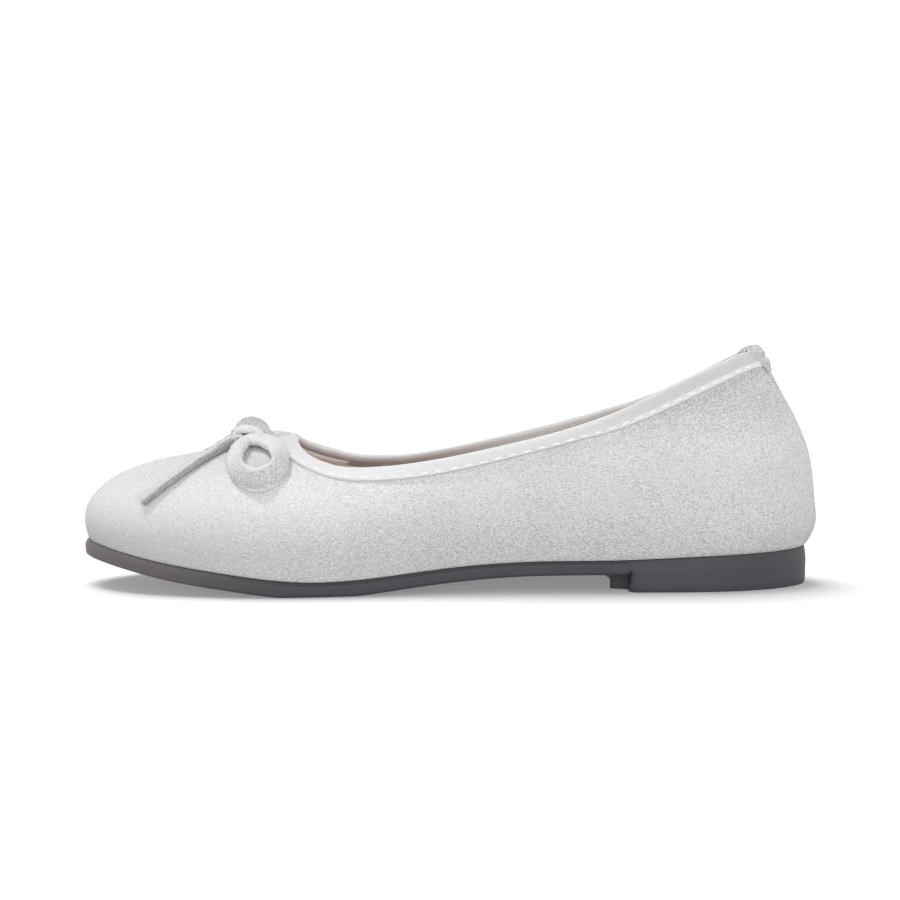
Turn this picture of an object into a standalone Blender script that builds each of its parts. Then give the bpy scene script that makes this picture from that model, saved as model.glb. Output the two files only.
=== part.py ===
"""Ballet flat: a right shoe with a moulded sole, a lasted suede upper, a ribbon binding and a strap bow.

Frame: metres, +Z up, the shoe stands on z = 0. The heel points to +X and the toe to -X, the medial
(inner) side lies to -Y and the lateral (outer) side to +Y.
"""
from math import copysign, cos, pi, sin
from typing import NamedTuple

import bmesh
import bpy
import numpy as np
from mathutils import Matrix, Vector
from mathutils.bvhtree import BVHTree

MM = 0.001

# Driving sizes
GAP = 0.3 * MM
UPPER_WALL = 1.8 * MM
EDGE_FLARE_TOE = 1.2 * MM
EDGE_FLARE_HEEL = 0.9 * MM
EDGE_ROUND = 0.5 * MM
EDGE_TUCK = 1.6 * MM
HEEL_BREAST_X = 58.5 * MM
HEEL_CORNER_RADIUS = 2.5 * MM
BREAST_CLEAR = 7.2 * MM
INSOLE_THICKNESS = 3.2 * MM
INSOLE_INSET = 2.3 * MM
BINDING_DEPTH = 5.0 * MM
BINDING_THICKNESS = 0.6 * MM
TAB_DEPTH = 8.0 * MM
TAB_HALF_WIDTH = 8.4 * MM
TAB_LOWER_HALF_WIDTH = 4.4 * MM
TAB_THICKNESS = 0.8 * MM
TAB_STEP = 1.3 * MM
KNOT_CENTRE = Vector((-67.0, 0.0, 51.0)) * MM
KNOT_HALF_SIZES = Vector((7.0, 5.2, 4.8)) * MM
LOOP_WIDTH = 4.8 * MM
LOOP_THICKNESS = 4.2 * MM
TAIL_WIDTH = 4.2 * MM
TAIL_THICKNESS = 2.2 * MM
ROOT_WIDTH_SHARE = 0.6
ROOT_LENGTH_SHARE = 0.15

# How finely the solids are cut into faces
RIBS_AROUND = 80
UPPER_ROWS = 10
ROLL_STEPS = 4
TAB_STEPS = 6
PLATE_STATIONS = 40
CORNER_SHARES = (1.0, 0.6, 0.25, 0.0)
KNOT_SEGMENTS = 16
KNOT_RINGS = 10
STRAP_SIDES = 10
STRAP_STEPS_PER_ROW = 3
RIB_SAMPLES = 40
WELD = 0.01 * MM


class Station(NamedTuple):
    """One place along the last, in millimetres, read on both sides of the shoe.

    The foot is the feather line on top of the sole, under_z is the underside of the sole plate there and
    the rim is the topline. Each rib of the wall is a Bezier curve from foot to rim: low_out and low_up
    set its lower handle, lean (a share of the way from rim to foot), high_out and high_down its upper one.
    """

    name: str
    foot_x: float
    foot_medial: float
    foot_lateral: float
    foot_z: float
    under_z: float
    rim_x: float
    rim_medial: float
    rim_lateral: float
    rim_z_medial: float
    rim_z_lateral: float
    low_out: float
    low_up: float
    lean: float
    high_out: float
    high_down: float


STATIONS = (
    Station("heel_back", 119.5, 0.0, 0.0, 12.5, 7.0, 104.4, 0.0, 0.0, 77.7, 77.7, 3.4, 1.0, 0.80, 13.5, 39.5),
    Station("heel_round", 104.5, 19.2, 19.8, 12.1, 6.8, 98.0, 9.0, 9.4, 76.4, 75.8, 3.6, 2.5, 0.70, 11.5, 38.0),
    Station("heel_side", 81.0, 25.6, 26.6, 11.4, 6.3, 80.0, 20.5, 21.0, 69.8, 66.8, 3.6, 5.0, 0.50, 9.0, 33.0),
    Station("breast", 53.0, 26.4, 28.6, 10.3, 5.6, 53.0, 26.6, 27.3, 57.2, 55.1, 3.6, 8.0, 0.30, 6.0, 24.0),
    Station("waist", 20.0, 26.2, 31.4, 9.6, 4.9, 21.0, 28.3, 29.0, 47.9, 46.3, 4.4, 10.0, 0.30, 5.0, 18.0),
    Station("arch_front", -13.0, 31.0, 35.8, 6.8, 1.9, -8.0, 28.5, 29.0, 42.2, 41.2, 3.8, 12.0, 0.30, 5.2, 12.5),
    Station("ball", -46.0, 37.8, 38.2, 4.7, -0.6, -32.0, 25.6, 25.6, 40.1, 40.0, 2.8, 14.0, 0.32, 7.0, 8.5),
    Station("joint", -70.0, 37.6, 34.6, 7.1, 1.8, -40.5, 21.6, 21.6, 41.3, 41.2, 3.4, 16.5, 0.42, 5.0, 6.5),
    Station("toe_side", -92.0, 32.2, 27.4, 10.1, 4.8, -46.2, 15.6, 15.6, 43.9, 43.8, 5.0, 19.0, 0.55, 3.4, 5.4),
    Station("toe_corner", -112.7, 20.4, 14.8, 13.9, 8.7, -50.0, 7.6, 7.6, 47.4, 47.4, 6.8, 20.0, 0.66, 1.0, 4.8),
    Station("toe_tip", -121.5, 3.0, -3.0, 15.4, 10.1, -51.0, 0.0, 0.0, 49.0, 49.0, 7.8, 20.4, 0.70, 0.0, 4.6),
)


class BreastPoint(NamedTuple):
    """One point across the heel's front: a share of the half width, and how far it juts out in millimetres."""

    share: float
    forward: float


BREAST = (
    BreastPoint(-0.62, 0.0),
    BreastPoint(-0.44, 0.0),
    BreastPoint(-0.38, 3.5),
    BreastPoint(-0.16, 4.6),
    BreastPoint(0.16, 4.6),
    BreastPoint(0.38, 3.5),
    BreastPoint(0.44, 0.0),
    BreastPoint(0.62, 0.0),
)


class Rest(NamedTuple):
    """One point of the bow's strap on the vamp, in millimetres: its place in plan and its lift."""

    along: float
    across: float
    lift: float


LOOP_ROUTE = (
    Rest(-63.4, 5.3, 2.5),
    Rest(-59.4, 9.8, 2.5),
    Rest(-56.5, 15.6, 2.5),
    Rest(-56.4, 22.2, 2.5),
    Rest(-59.0, 27.4, 2.5),
    Rest(-63.4, 29.6, 2.5),
    Rest(-67.8, 27.4, 2.5),
    Rest(-70.2, 22.0, 2.5),
    Rest(-70.0, 16.2, 2.5),
    Rest(-68.8, 10.8, 2.5),
    Rest(-67.4, 6.0, 2.5),
)
TAIL_ROUTE = (
    Rest(-71.8, 4.1, 1.8),
    Rest(-75.4, 8.6, 1.6),
    Rest(-79.6, 13.7, 1.6),
    Rest(-84.2, 18.8, 1.6),
    Rest(-89.0, 23.0, 1.6),
    Rest(-93.2, 25.4, 1.6),
    Rest(-96.6, 26.6, 1.6),
    Rest(-99.4, 27.1, 1.6),
)

# Each side of the bow with how far its loop and its tail reach from the knot, as shares of the routes
BOW_SIDES = (("medial", -1.0, -1.0), ("lateral", 0.96, 0.74))


def clear_scene():
    """Remove every object that the file starts with."""
    for obj in list(bpy.data.objects):
        bpy.data.objects.remove(obj)


def principled(name, colour, roughness):
    """Make a plain Principled material."""
    material = bpy.data.materials.new(name)
    material.use_nodes = True
    shader = material.node_tree.nodes["Principled BSDF"]
    shader.inputs["Base Color"].default_value = (*colour, 1.0)
    shader.inputs["Roughness"].default_value = roughness
    shader.inputs["Metallic"].default_value = 0.0
    return material


def add_object(name, bm, material):
    """Turn a bmesh into a named object with its material."""
    mesh = bpy.data.meshes.new(name)
    bm.to_mesh(mesh)
    bm.free()
    mesh.shade_smooth()
    mesh.set_sharp_from_angle(angle=pi / 4)
    obj = bpy.data.objects.new(name, mesh)
    bpy.context.scene.collection.objects.link(obj)
    mesh.materials.append(material)
    return obj


def closed_spline(knots, values, period):
    """Fit a smooth closed curve through rows of values.

    Returns a function that gives the value and the slope at any place around.
    """
    count = len(knots)
    steps = np.diff(np.append(knots, knots[0] + period))
    rises = (np.roll(values, -1, axis=0) - values) / steps[:, None]
    weights = np.zeros((count, count))
    for i in range(count):
        weights[i, i - 1] += 1 / steps[i - 1]
        weights[i, i] += 2 / steps[i - 1] + 2 / steps[i]
        weights[i, (i + 1) % count] += 1 / steps[i]
    bends = rises / steps[:, None]
    slopes = np.linalg.solve(weights, 3 * (np.roll(bends, 1, axis=0) + bends))

    def read(place):
        place = place % period
        i = int(np.searchsorted(knots, place, side="right")) - 1
        j = (i + 1) % count
        t = (place - knots[i]) / steps[i]
        start = values[i]
        turn = steps[i] * slopes[i]
        square = 3 * (values[j] - start) - 2 * turn - steps[i] * slopes[j]
        cube = 2 * (start - values[j]) + turn + steps[i] * slopes[j]
        value = start + t * (turn + t * (square + t * cube))
        slope = (turn + t * (2 * square + 3 * t * cube)) / steps[i]
        return value, slope

    return read


class Last:
    """The shape that the upper, sole and insole share: ribs around the shoe from feather line to topline.

    A place around runs from 0 at the heel back, along the medial side, to 0.5 at the toe tip, and back
    along the lateral side to 1.
    """

    def __init__(self, stations):
        medial = [(s, -1) for s in stations]
        lateral = [(s, 1) for s in stations[-2:0:-1]]
        ring = medial + lateral
        feet = np.array([self.foot(s, side) for s, side in ring]) * MM
        unders = np.array([[s.under_z] for s, side in ring]) * MM
        rims = np.array([self.rim(s, side) for s, side in ring]) * MM
        self.knots = self.spread(stations)
        self.outline = closed_spline(self.knots, feet, 1.0)
        self.underside = closed_spline(self.knots, unders, 1.0)
        outward = np.array([self.outward(knot) for knot in self.knots])
        up = np.array((0.0, 0.0, 1.0))
        shape = np.array([(s.low_out, s.low_up, s.lean, s.high_out, s.high_down) for s, side in ring])
        low_out, low_up, lean, high_out, high_down = (shape * (MM, MM, 1, MM, MM)).T[:, :, None]
        low = feet + outward * low_out + up * low_up
        level_reach = (feet - rims) * (1, 1, 0)
        high = rims + level_reach * lean + outward * high_out - up * high_down
        lift = up * GAP
        self.ribs = closed_spline(self.knots, np.hstack((feet + lift, low, high, rims)), 1.0)

    @staticmethod
    def foot(station, side):
        """Feather point of a station on one side."""
        width = station.foot_medial if side < 0 else station.foot_lateral
        return station.foot_x, side * width, station.foot_z

    @staticmethod
    def rim(station, side):
        """Topline point of a station on one side."""
        if side < 0:
            return station.rim_x, -station.rim_medial, station.rim_z_medial
        return station.rim_x, station.rim_lateral, station.rim_z_lateral

    @staticmethod
    def spread(stations):
        """Places of the stations around the shoe, the same on both sides, by their mean distance apart."""
        medial = np.array([(s.foot_x, s.foot_medial) for s in stations])
        lateral = np.array([(s.foot_x, s.foot_lateral) for s in stations])
        apart = [np.linalg.norm(np.diff(side, axis=0), axis=1) for side in (medial, lateral)]
        half = np.append(0.0, np.cumsum(sum(apart)))
        half *= 0.5 / half[-1]
        return np.append(half, 1.0 - half[-2:0:-1])

    def outward(self, around):
        """Level direction out of the feather outline."""
        slope = self.outline(around)[1]
        across = np.array((-slope[1], slope[0], 0.0))
        return across / np.linalg.norm(across)

    def around_at(self, x):
        """Place on the medial side where the feather line crosses a given x."""
        low, high = 0.0, 0.5
        for _ in range(RIB_SAMPLES):
            middle = (low + high) / 2
            if self.outline(middle)[0][0] > x:
                low = middle
            else:
                high = middle
        return low

    def wall(self, around, up):
        """Point of the upper's outer face and its outward normal; up runs from 0 at the sole to 1."""
        values, slopes = self.ribs(around)
        points = values.reshape(4, 3)
        turns = slopes.reshape(4, 3)
        down = 1 - up
        mix = np.array((down**3, 3 * up * down**2, 3 * up**2 * down, up**3))
        rise = np.array((-3 * down**2, 3 * down * (down - 2 * up), 3 * up * (2 * down - up), 3 * up**2))
        normal = np.cross(rise @ points, mix @ turns)
        return mix @ points, normal / np.linalg.norm(normal)

    def below_rim(self, around, below, out):
        """Point at a distance down the rib from the topline, lifted off the outer face by out."""
        ups = np.linspace(1.0, 0.5, RIB_SAMPLES)
        points = np.array([self.wall(around, up)[0] for up in ups])
        lengths = np.append(0.0, np.cumsum(np.linalg.norm(np.diff(points, axis=0), axis=1)))
        point, normal = self.wall(around, np.interp(max(below, 0.0), lengths, ups))
        past = (points[0] - points[1]) / lengths[1] * max(-below, 0.0)
        return point + past + normal * out


def mapped_grid(columns, rows, place):
    """Bend a flat grid into a sheet: place gives a point for its two shares, and meeting edges are welded."""
    bm = bmesh.new()
    bmesh.ops.create_grid(bm, x_segments=columns, y_segments=rows, size=0.5)
    for vert in bm.verts:
        vert.co = place(vert.co.x + 0.5, vert.co.y + 0.5)
    bmesh.ops.remove_doubles(bm, verts=bm.verts, dist=WELD)
    bmesh.ops.dissolve_degenerate(bm, edges=bm.edges, dist=WELD)
    return bm


def close_and_face_out(bm):
    """Fill any open ends and turn the faces outwards."""
    ends = [edge for edge in bm.edges if edge.is_boundary]
    if ends:
        bmesh.ops.edgeloop_fill(bm, edges=ends)
    bmesh.ops.recalc_face_normals(bm, faces=bm.faces)
    return bm


def thicken(obj, thickness, offset):
    """Give a sheet its wall: offset -1 grows it inwards, 1 outwards."""
    solidify = obj.modifiers.new("wall", "SOLIDIFY")
    solidify.thickness = thickness
    solidify.offset = offset
    solidify.use_even_offset = True
    solidify.use_quality_normals = True


def upper_sheet(last):
    """Outer face of the upper, one ring of ribs from the feather line to the topline."""
    bm = mapped_grid(RIBS_AROUND, UPPER_ROWS, lambda across, up: last.wall(across, up)[0])
    if sum(face.normal.z * face.calc_area() for face in bm.faces) < 0:
        bmesh.ops.reverse_faces(bm, faces=bm.faces)
    return bm


def fold_over(flank):
    """Path of a strip folded over the topline, as pairs of lift and distance below the rim.

    The flank runs up the outer face, and its lift at the top sets the roll over the rim. The path goes
    from the inside to the outside, so that the strip's sheet faces away from the fold.
    """
    radius = UPPER_WALL / 2 + flank[-1][0]
    roll = []
    for step in range(ROLL_STEPS + 1):
        angle = pi * step / ROLL_STEPS
        roll.append((radius * cos(angle) - UPPER_WALL / 2, -radius * sin(angle)))
    inside = [(-UPPER_WALL - out, below) for out, below in reversed(flank)]
    return (flank + roll + inside)[::-1]


def binding_sheet(last):
    """Inner face of the ribbon that is rolled over the topline."""
    path = fold_over([(GAP, BINDING_DEPTH)])

    def place(across, share):
        out, below = path[round(share * (len(path) - 1))]
        return last.below_rim(across, below, out)

    return mapped_grid(RIBS_AROUND, len(path) - 1, place)


def tab_sheet(last):
    """Inner face of the strip folded over the binding at the back seam, narrower towards its ends."""
    clear = GAP + BINDING_THICKNESS + GAP
    step_down = BINDING_DEPTH + GAP
    path = fold_over([(GAP, TAB_DEPTH), (GAP, step_down + TAB_STEP), (clear, step_down)])
    rim_speed = np.linalg.norm(last.ribs(0.0)[1].reshape(4, 3)[3])

    def place(across, share):
        out, below = path[round(share * (len(path) - 1))]
        taper = max(below, 0.0) / TAB_DEPTH
        half_width = TAB_HALF_WIDTH + (TAB_LOWER_HALF_WIDTH - TAB_HALF_WIDTH) * taper
        return last.below_rim((2 * across - 1) * half_width / rim_speed, below, out)

    return mapped_grid(TAB_STEPS, len(path) - 1, place)


def plate(arounds, section):
    """Solid of cross-sections from heel to toe, each a closed loop of points that ends on a line."""
    loops = [section(around) for around in arounds]
    sides = len(loops[0])

    def place(along, share):
        return loops[round(along * (len(loops) - 1))][round(share * sides) % sides]

    return close_and_face_out(mapped_grid(len(loops) - 1, sides, place))


def edge_point(last, around, out, height):
    """Point beside the feather outline at a height above the floor."""
    point = last.outline(around)[0] + last.outward(around) * out
    return np.array((point[0], point[1], height))


def insole(last):
    """Footbed inside the upper, on top of the sole."""

    def section(around):
        low = last.outline(around)[0][2] + GAP
        high = low + INSOLE_THICKNESS
        loop = [edge_point(last, around, -INSOLE_INSET, z) for z in (low, high)]
        return loop + [edge_point(last, -around, -INSOLE_INSET, z) for z in (high, low)]

    return plate(np.linspace(0.0, 0.5, PLATE_STATIONS + 1), section)


def outsole(last):
    """Moulded sole: a plate with toe spring and arch, and a block heel with a short tongue at its breast."""
    heel_x = last.outline(0.0)[0][0]
    toe_x = last.outline(0.5)[0][0]
    breast = last.around_at(HEEL_BREAST_X)
    corner = last.around_at(HEEL_BREAST_X + HEEL_CORNER_RADIUS) - breast
    step = -corner / PLATE_STATIONS
    ahead = last.around_at(HEEL_BREAST_X - BREAST_CLEAR)
    evenly = np.linspace(0.0, 0.5, PLATE_STATIONS + 1)
    spread = [around for around in evenly if not breast + corner < around < ahead]
    near_breast = [breast + corner * share for share in CORNER_SHARES] + [breast + step]

    def section(around):
        top = last.outline(around)[0]
        toe_share = (heel_x - top[0]) / (heel_x - toe_x)
        flare = EDGE_FLARE_HEEL + (EDGE_FLARE_TOE - EDGE_FLARE_HEEL) * toe_share
        plate_low = max(last.underside(around)[0][0], 0.0)
        in_heel = around <= breast
        low = 0.0 if in_heel else plate_low
        behind = top[0] - HEEL_BREAST_X
        cut = max(HEEL_CORNER_RADIUS - behind, 0.0) if in_heel else 0.0
        inset = HEEL_CORNER_RADIUS - (max(HEEL_CORNER_RADIUS**2 - cut**2, 0.0)) ** 0.5
        belly = max(plate_low, low + EDGE_ROUND + EDGE_TUCK)
        rows = (
            (0.0, top[2]),
            (flare / 2, top[2] - EDGE_ROUND),
            (flare, belly + EDGE_TUCK),
            (flare - inset, belly),
            (flare - EDGE_ROUND / 2 - inset, low + EDGE_ROUND),
            (flare - EDGE_TUCK - inset, low),
        )
        medial = [edge_point(last, around, out, z) for out, z in rows]
        lateral = [edge_point(last, -around, out, z) for out, z in rows]
        at_breast = breast <= around <= breast + step
        under = []
        for across in BREAST:
            point = medial[-1] + (lateral[-1] - medial[-1]) * (across.share + 1) / 2
            if at_breast:
                point[0] -= across.forward * MM
            under.append(point)
        return medial + under + lateral[::-1]

    return plate(sorted(spread + near_breast), section)


def seat(tree, rest, root, reach):
    """Place a point of the bow's strap on the vamp; returns it with the vamp's normal there.

    The reach scales how far the strap goes across from its root at the knot: below zero on the medial
    side, above on the lateral side.
    """
    across = copysign(root.across, reach) + reach * (rest.across - root.across)
    start = Vector((rest.along * MM, across * MM, 1.0))
    hit, normal, _, _ = tree.ray_cast(start, Vector((0.0, 0.0, -1.0)))
    return hit + normal * rest.lift * MM, normal


def smooth_path(points):
    """Read a smooth curve through points at even shares between them."""
    padded = [2 * points[0] - points[1], *points, 2 * points[-1] - points[-2]]
    path = []
    for a, b, c, d in zip(padded, padded[1:], padded[2:], padded[3:]):
        for step in range(STRAP_STEPS_PER_ROW):
            t = step / STRAP_STEPS_PER_ROW
            bend = (2 * a - 5 * b + 4 * c - d) * t + (3 * b - a - 3 * c + d) * t * t
            path.append(b + ((c - a) + bend) * t / 2)
    path.append(points[-1])
    return path


def strap(tree, route, reach, width, thickness, loops_back):
    """Sweep the strap's flat oval section along a route on the vamp, gathered where it leaves the knot."""
    seats = [seat(tree, rest, route[0], reach) for rest in route]
    path = smooth_path([point for point, _ in seats])
    normals = smooth_path([normal for _, normal in seats])
    last_step = len(path) - 1

    def place(along, share):
        i = round(along * last_step)
        forward = (path[min(i + 1, last_step)] - path[max(i - 1, 0)]).normalized()
        sideways = forward.cross(normals[i]).normalized()
        upright = sideways.cross(forward)
        from_knot = min(along, 1 - along) if loops_back else along
        gather = min(1.0, ROOT_WIDTH_SHARE + (1 - ROOT_WIDTH_SHARE) * from_knot / ROOT_LENGTH_SHARE)
        angle = 2 * pi * share
        wide = sideways * (width / 2 * gather * cos(angle))
        return path[i] + wide + upright * (thickness / 2 * sin(angle))

    return close_and_face_out(mapped_grid(last_step, STRAP_SIDES, place))


def knot(tree):
    """Wrapped centre of the bow, a pillow that is flat where it sits on the vamp."""
    bm = bmesh.new()
    size = Matrix.LocRotScale(KNOT_CENTRE, None, KNOT_HALF_SIZES)
    bmesh.ops.create_uvsphere(bm, u_segments=KNOT_SEGMENTS, v_segments=KNOT_RINGS, radius=1.0, matrix=size)
    for vert in bm.verts:
        hit, _, _, _ = tree.ray_cast(Vector((vert.co.x, vert.co.y, 1.0)), Vector((0.0, 0.0, -1.0)))
        vert.co.z = max(vert.co.z, hit.z + GAP)
    return close_and_face_out(bm)


def main():
    """Build the shoe's pieces."""
    clear_scene()
    suede = principled("suede", (0.72, 0.71, 0.69), 0.9)
    ribbon = principled("ribbon", (0.84, 0.84, 0.83), 0.7)
    rubber = principled("rubber", (0.16, 0.145, 0.14), 0.6)
    board = principled("footbed", (0.36, 0.30, 0.26), 0.8)
    last = Last(STATIONS)
    add_object("outsole", outsole(last), rubber)
    add_object("insole", insole(last), board)
    sheet = upper_sheet(last)
    vamp = BVHTree.FromBMesh(sheet)
    thicken(add_object("upper", sheet, suede), UPPER_WALL, -1)
    thicken(add_object("topline_binding", binding_sheet(last), ribbon), BINDING_THICKNESS, 1)
    thicken(add_object("heel_tab", tab_sheet(last), suede), TAB_THICKNESS, 1)
    add_object("bow_knot", knot(vamp), suede)
    for side, loop_reach, tail_reach in BOW_SIDES:
        loop = strap(vamp, LOOP_ROUTE, loop_reach, LOOP_WIDTH, LOOP_THICKNESS, True)
        tail = strap(vamp, TAIL_ROUTE, tail_reach, TAIL_WIDTH, TAIL_THICKNESS, False)
        add_object(f"bow_loop_{side}", loop, suede)
        add_object(f"bow_tail_{side}", tail, suede)


main()
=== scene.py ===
"""Ballet flat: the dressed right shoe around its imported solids, seen from its medial side.

Frame: metres, +Z up, the shoe stands on z = 0. The heel points to +X and the toe to -X, the medial
(inner) side lies to -Y and the lateral (outer) side to +Y.
"""

import logging
from dataclasses import dataclass, field
from enum import Enum
from math import copysign, cos, pi, radians, sin
from typing import Callable, NamedTuple, Sequence, Union

import bmesh
import bpy
import numpy as np
from mathutils import Matrix, Vector, noise
from mathutils.bvhtree import BVHTree


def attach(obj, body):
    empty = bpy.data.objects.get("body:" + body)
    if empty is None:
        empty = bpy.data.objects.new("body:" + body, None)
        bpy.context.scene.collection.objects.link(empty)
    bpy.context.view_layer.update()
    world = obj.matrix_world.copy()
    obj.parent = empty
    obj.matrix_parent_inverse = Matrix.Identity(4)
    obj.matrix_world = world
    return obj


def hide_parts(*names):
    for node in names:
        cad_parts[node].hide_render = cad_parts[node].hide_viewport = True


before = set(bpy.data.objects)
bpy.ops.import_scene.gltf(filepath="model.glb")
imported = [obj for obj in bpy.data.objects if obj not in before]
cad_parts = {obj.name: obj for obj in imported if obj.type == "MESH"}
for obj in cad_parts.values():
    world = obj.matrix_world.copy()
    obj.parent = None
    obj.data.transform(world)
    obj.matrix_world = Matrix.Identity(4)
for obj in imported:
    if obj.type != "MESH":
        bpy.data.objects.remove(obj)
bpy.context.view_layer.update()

LOG = logging.getLogger("ballet_flat")
MM = 0.001
WELD = 0.005 * MM
UP = np.array((0.0, 0.0, 1.0))
Colour = tuple[float, float, float]
Span = tuple[float, float]
Values = Union[float, np.ndarray]


class Slot(Enum):
    """Material slots of the record."""

    SUEDE = "suede"
    RIBBON = "ribbon"
    RUBBER = "rubber"
    FOOTBED = "footbed"


class Station(NamedTuple):
    """One place along the last, in millimetres, read on both sides of the shoe.

    The foot is the feather line on top of the sole, under_z is the underside of the sole plate
    there and the rim is the topline. Each rib of the wall is a Bezier curve from foot to rim:
    low_out and low_up set its lower handle, lean (a share of the way from rim to foot), high_out
    and high_down its upper one.
    """

    name: str
    foot_x: float
    foot_medial: float
    foot_lateral: float
    foot_z: float
    under_z: float
    rim_x: float
    rim_medial: float
    rim_lateral: float
    rim_z_medial: float
    rim_z_lateral: float
    low_out: float
    low_up: float
    lean: float
    high_out: float
    high_down: float


STATIONS = (
    Station("heel_back", 119.5, 0.0, 0.0, 12.5, 7.0,
            104.4, 0.0, 0.0, 77.7, 77.7, 3.4, 1.0, 0.80, 13.5, 39.5),
    Station("heel_round", 104.5, 19.2, 19.8, 12.1, 6.8,
            98.0, 9.0, 9.4, 76.4, 75.8, 3.6, 2.5, 0.70, 11.5, 38.0),
    Station("heel_side", 81.0, 25.6, 26.6, 11.4, 6.3,
            80.0, 20.5, 21.0, 69.8, 66.8, 3.6, 5.0, 0.50, 9.0, 33.0),
    Station("breast", 53.0, 26.4, 28.6, 10.3, 5.6,
            53.0, 26.6, 27.3, 57.2, 55.1, 3.6, 8.0, 0.30, 6.0, 24.0),
    Station("waist", 20.0, 26.2, 31.4, 9.6, 4.9,
            21.0, 28.3, 29.0, 47.9, 46.3, 4.4, 10.0, 0.30, 5.0, 18.0),
    Station("arch_front", -13.0, 31.0, 35.8, 6.8, 1.9,
            -8.0, 28.5, 29.0, 42.2, 41.2, 3.8, 12.0, 0.30, 5.2, 12.5),
    Station("ball", -46.0, 37.8, 38.2, 4.7, -0.6,
            -32.0, 25.6, 25.6, 40.1, 40.0, 2.8, 14.0, 0.32, 7.0, 8.5),
    Station("joint", -70.0, 37.6, 34.6, 7.1, 1.8,
            -40.5, 21.6, 21.6, 41.3, 41.2, 3.4, 16.5, 0.42, 5.0, 6.5),
    Station("toe_side", -92.0, 32.2, 27.4, 10.1, 4.8,
            -46.2, 15.6, 15.6, 43.9, 43.8, 5.0, 19.0, 0.55, 3.4, 5.4),
    Station("toe_corner", -112.7, 20.4, 14.8, 13.9, 8.7,
            -50.0, 7.6, 7.6, 47.4, 47.4, 6.8, 20.0, 0.66, 1.0, 4.8),
    Station("toe_tip", -121.5, 3.0, -3.0, 15.4, 10.1,
            -51.0, 0.0, 0.0, 49.0, 49.0, 7.8, 20.4, 0.70, 0.0, 4.6),
)


class BreastPoint(NamedTuple):
    """One point across the heel's front: share of the half width, and how far it juts out in mm."""

    share: float
    forward: float


BREAST = (
    BreastPoint(-0.82, 0.0),
    BreastPoint(-0.78, 4.8),
    BreastPoint(-0.70, 5.6),
    BreastPoint(-0.35, 4.2),
    BreastPoint(0.0, 3.6),
    BreastPoint(0.35, 4.2),
    BreastPoint(0.70, 5.6),
    BreastPoint(0.78, 4.8),
    BreastPoint(0.82, 0.0),
)


class Rest(NamedTuple):
    """One point of the bow's strap on the vamp, in millimetres: its place in plan and its lift."""

    along: float
    across: float
    lift: float


LOOP_ROUTE = (
    Rest(-63.4, 5.3, 2.5),
    Rest(-59.4, 9.8, 2.5),
    Rest(-56.5, 15.6, 2.5),
    Rest(-56.4, 22.2, 2.5),
    Rest(-59.0, 27.4, 2.5),
    Rest(-63.4, 29.6, 2.5),
    Rest(-67.8, 27.4, 2.5),
    Rest(-70.2, 22.0, 2.5),
    Rest(-70.0, 16.2, 2.5),
    Rest(-68.8, 10.8, 2.5),
    Rest(-67.4, 6.0, 2.5),
)
TAIL_ROUTE = (
    Rest(-71.8, 4.1, 1.8),
    Rest(-75.4, 8.6, 1.6),
    Rest(-79.6, 13.7, 1.6),
    Rest(-84.2, 18.8, 1.6),
    Rest(-89.0, 23.0, 1.6),
    Rest(-93.2, 25.4, 1.6),
    Rest(-96.6, 26.6, 1.6),
    Rest(-99.4, 27.1, 1.6),
)


class KnotTurn(NamedTuple):
    """One turn of the strap in the knot, in millimetres.

    It has the sides that it is made on, the way its wide face looks, its sizes and its path. Face
    and path are written for the medial side.
    """

    name: str
    sides: tuple[int, ...]
    facing: tuple[float, float, float]
    width: float
    thickness: float
    points: tuple[tuple[float, float, float], ...]


WRAP = (
    KnotTurn("wrap", (-1,), (0.0, -0.30, 1.0), 7.0, 4.0, (
        (-70.8, 0.8, 48.6), (-70.9, 0.4, 51.0), (-69.8, -0.2, 52.7), (-68.0, -0.7, 53.5),
        (-66.2, -1.2, 53.4), (-64.5, -2.0, 52.3), (-63.1, -3.0, 50.5), (-62.1, -4.4, 48.4))),
)
FOLDS = (
    KnotTurn("fold", (-1, 1), (0.0, -0.7, 0.7), 2.7, 2.7, (
        (-72.2, -3.8, 49.8), (-70.8, -5.2, 51.3), (-68.2, -5.9, 52.0), (-65.4, -5.8, 51.5),
        (-63.2, -5.2, 50.2))),
    KnotTurn("flap_medial", (-1,), (0.0, -0.6, 0.8), 4.9, 3.2, (
        (-67.4, -8.6, 48.6), (-65.4, -9.4, 48.8), (-62.6, -11.0, 48.6), (-59.7, -13.4, 47.7),
        (-57.3, -17.2, 46.0), (-56.1, -21.6, 43.5))),
    KnotTurn("flap_lateral", (1,), (0.0, -0.3, 1.0), 4.9, 3.2, (
        (-66.5, -6.0, 48.6), (-62.5, -7.2, 48.9), (-58.4, -8.6, 48.8), (-55.2, -11.2, 48.0),
        (-54.6, -15.4, 46.2), (-56.0, -20.4, 43.6))),
)
TAIL_ROOTS = (
    KnotTurn("tail_root", (-1, 1), (-0.1, -0.5, 0.86), 3.9, 3.2, (
        (-69.2, -6.6, 48.8), (-70.8, -6.8, 48.7), (-72.8, -7.0, 48.3), (-75.0, -8.2, 47.3),
        (-77.4, -10.6, 45.8), (-79.8, -13.6, 44.0))),
)


class Sag(NamedTuple):
    """Where a loop hangs off its route: share of its length, reach, and shift in millimetres.

    The shift is along the shoe, outwards over the vamp, and off the vamp.
    """

    share: float
    reach: float
    along: float
    outward: float
    lift: float


SAGS = (Sag(0.36, 0.11, 1.5, 0.5, 0.2), Sag(0.53, 0.14, 0.9, -0.9, 1.1))


class Trim(NamedTuple):
    """How the ribbon sits at a place along the topline, in millimetres.

    It has its depth outside, its slide up the wall (below zero down it), and the lift of its roll
    on either side.
    """

    x: float
    depth: float
    slide: float
    lift_medial: float
    lift_lateral: float


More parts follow.
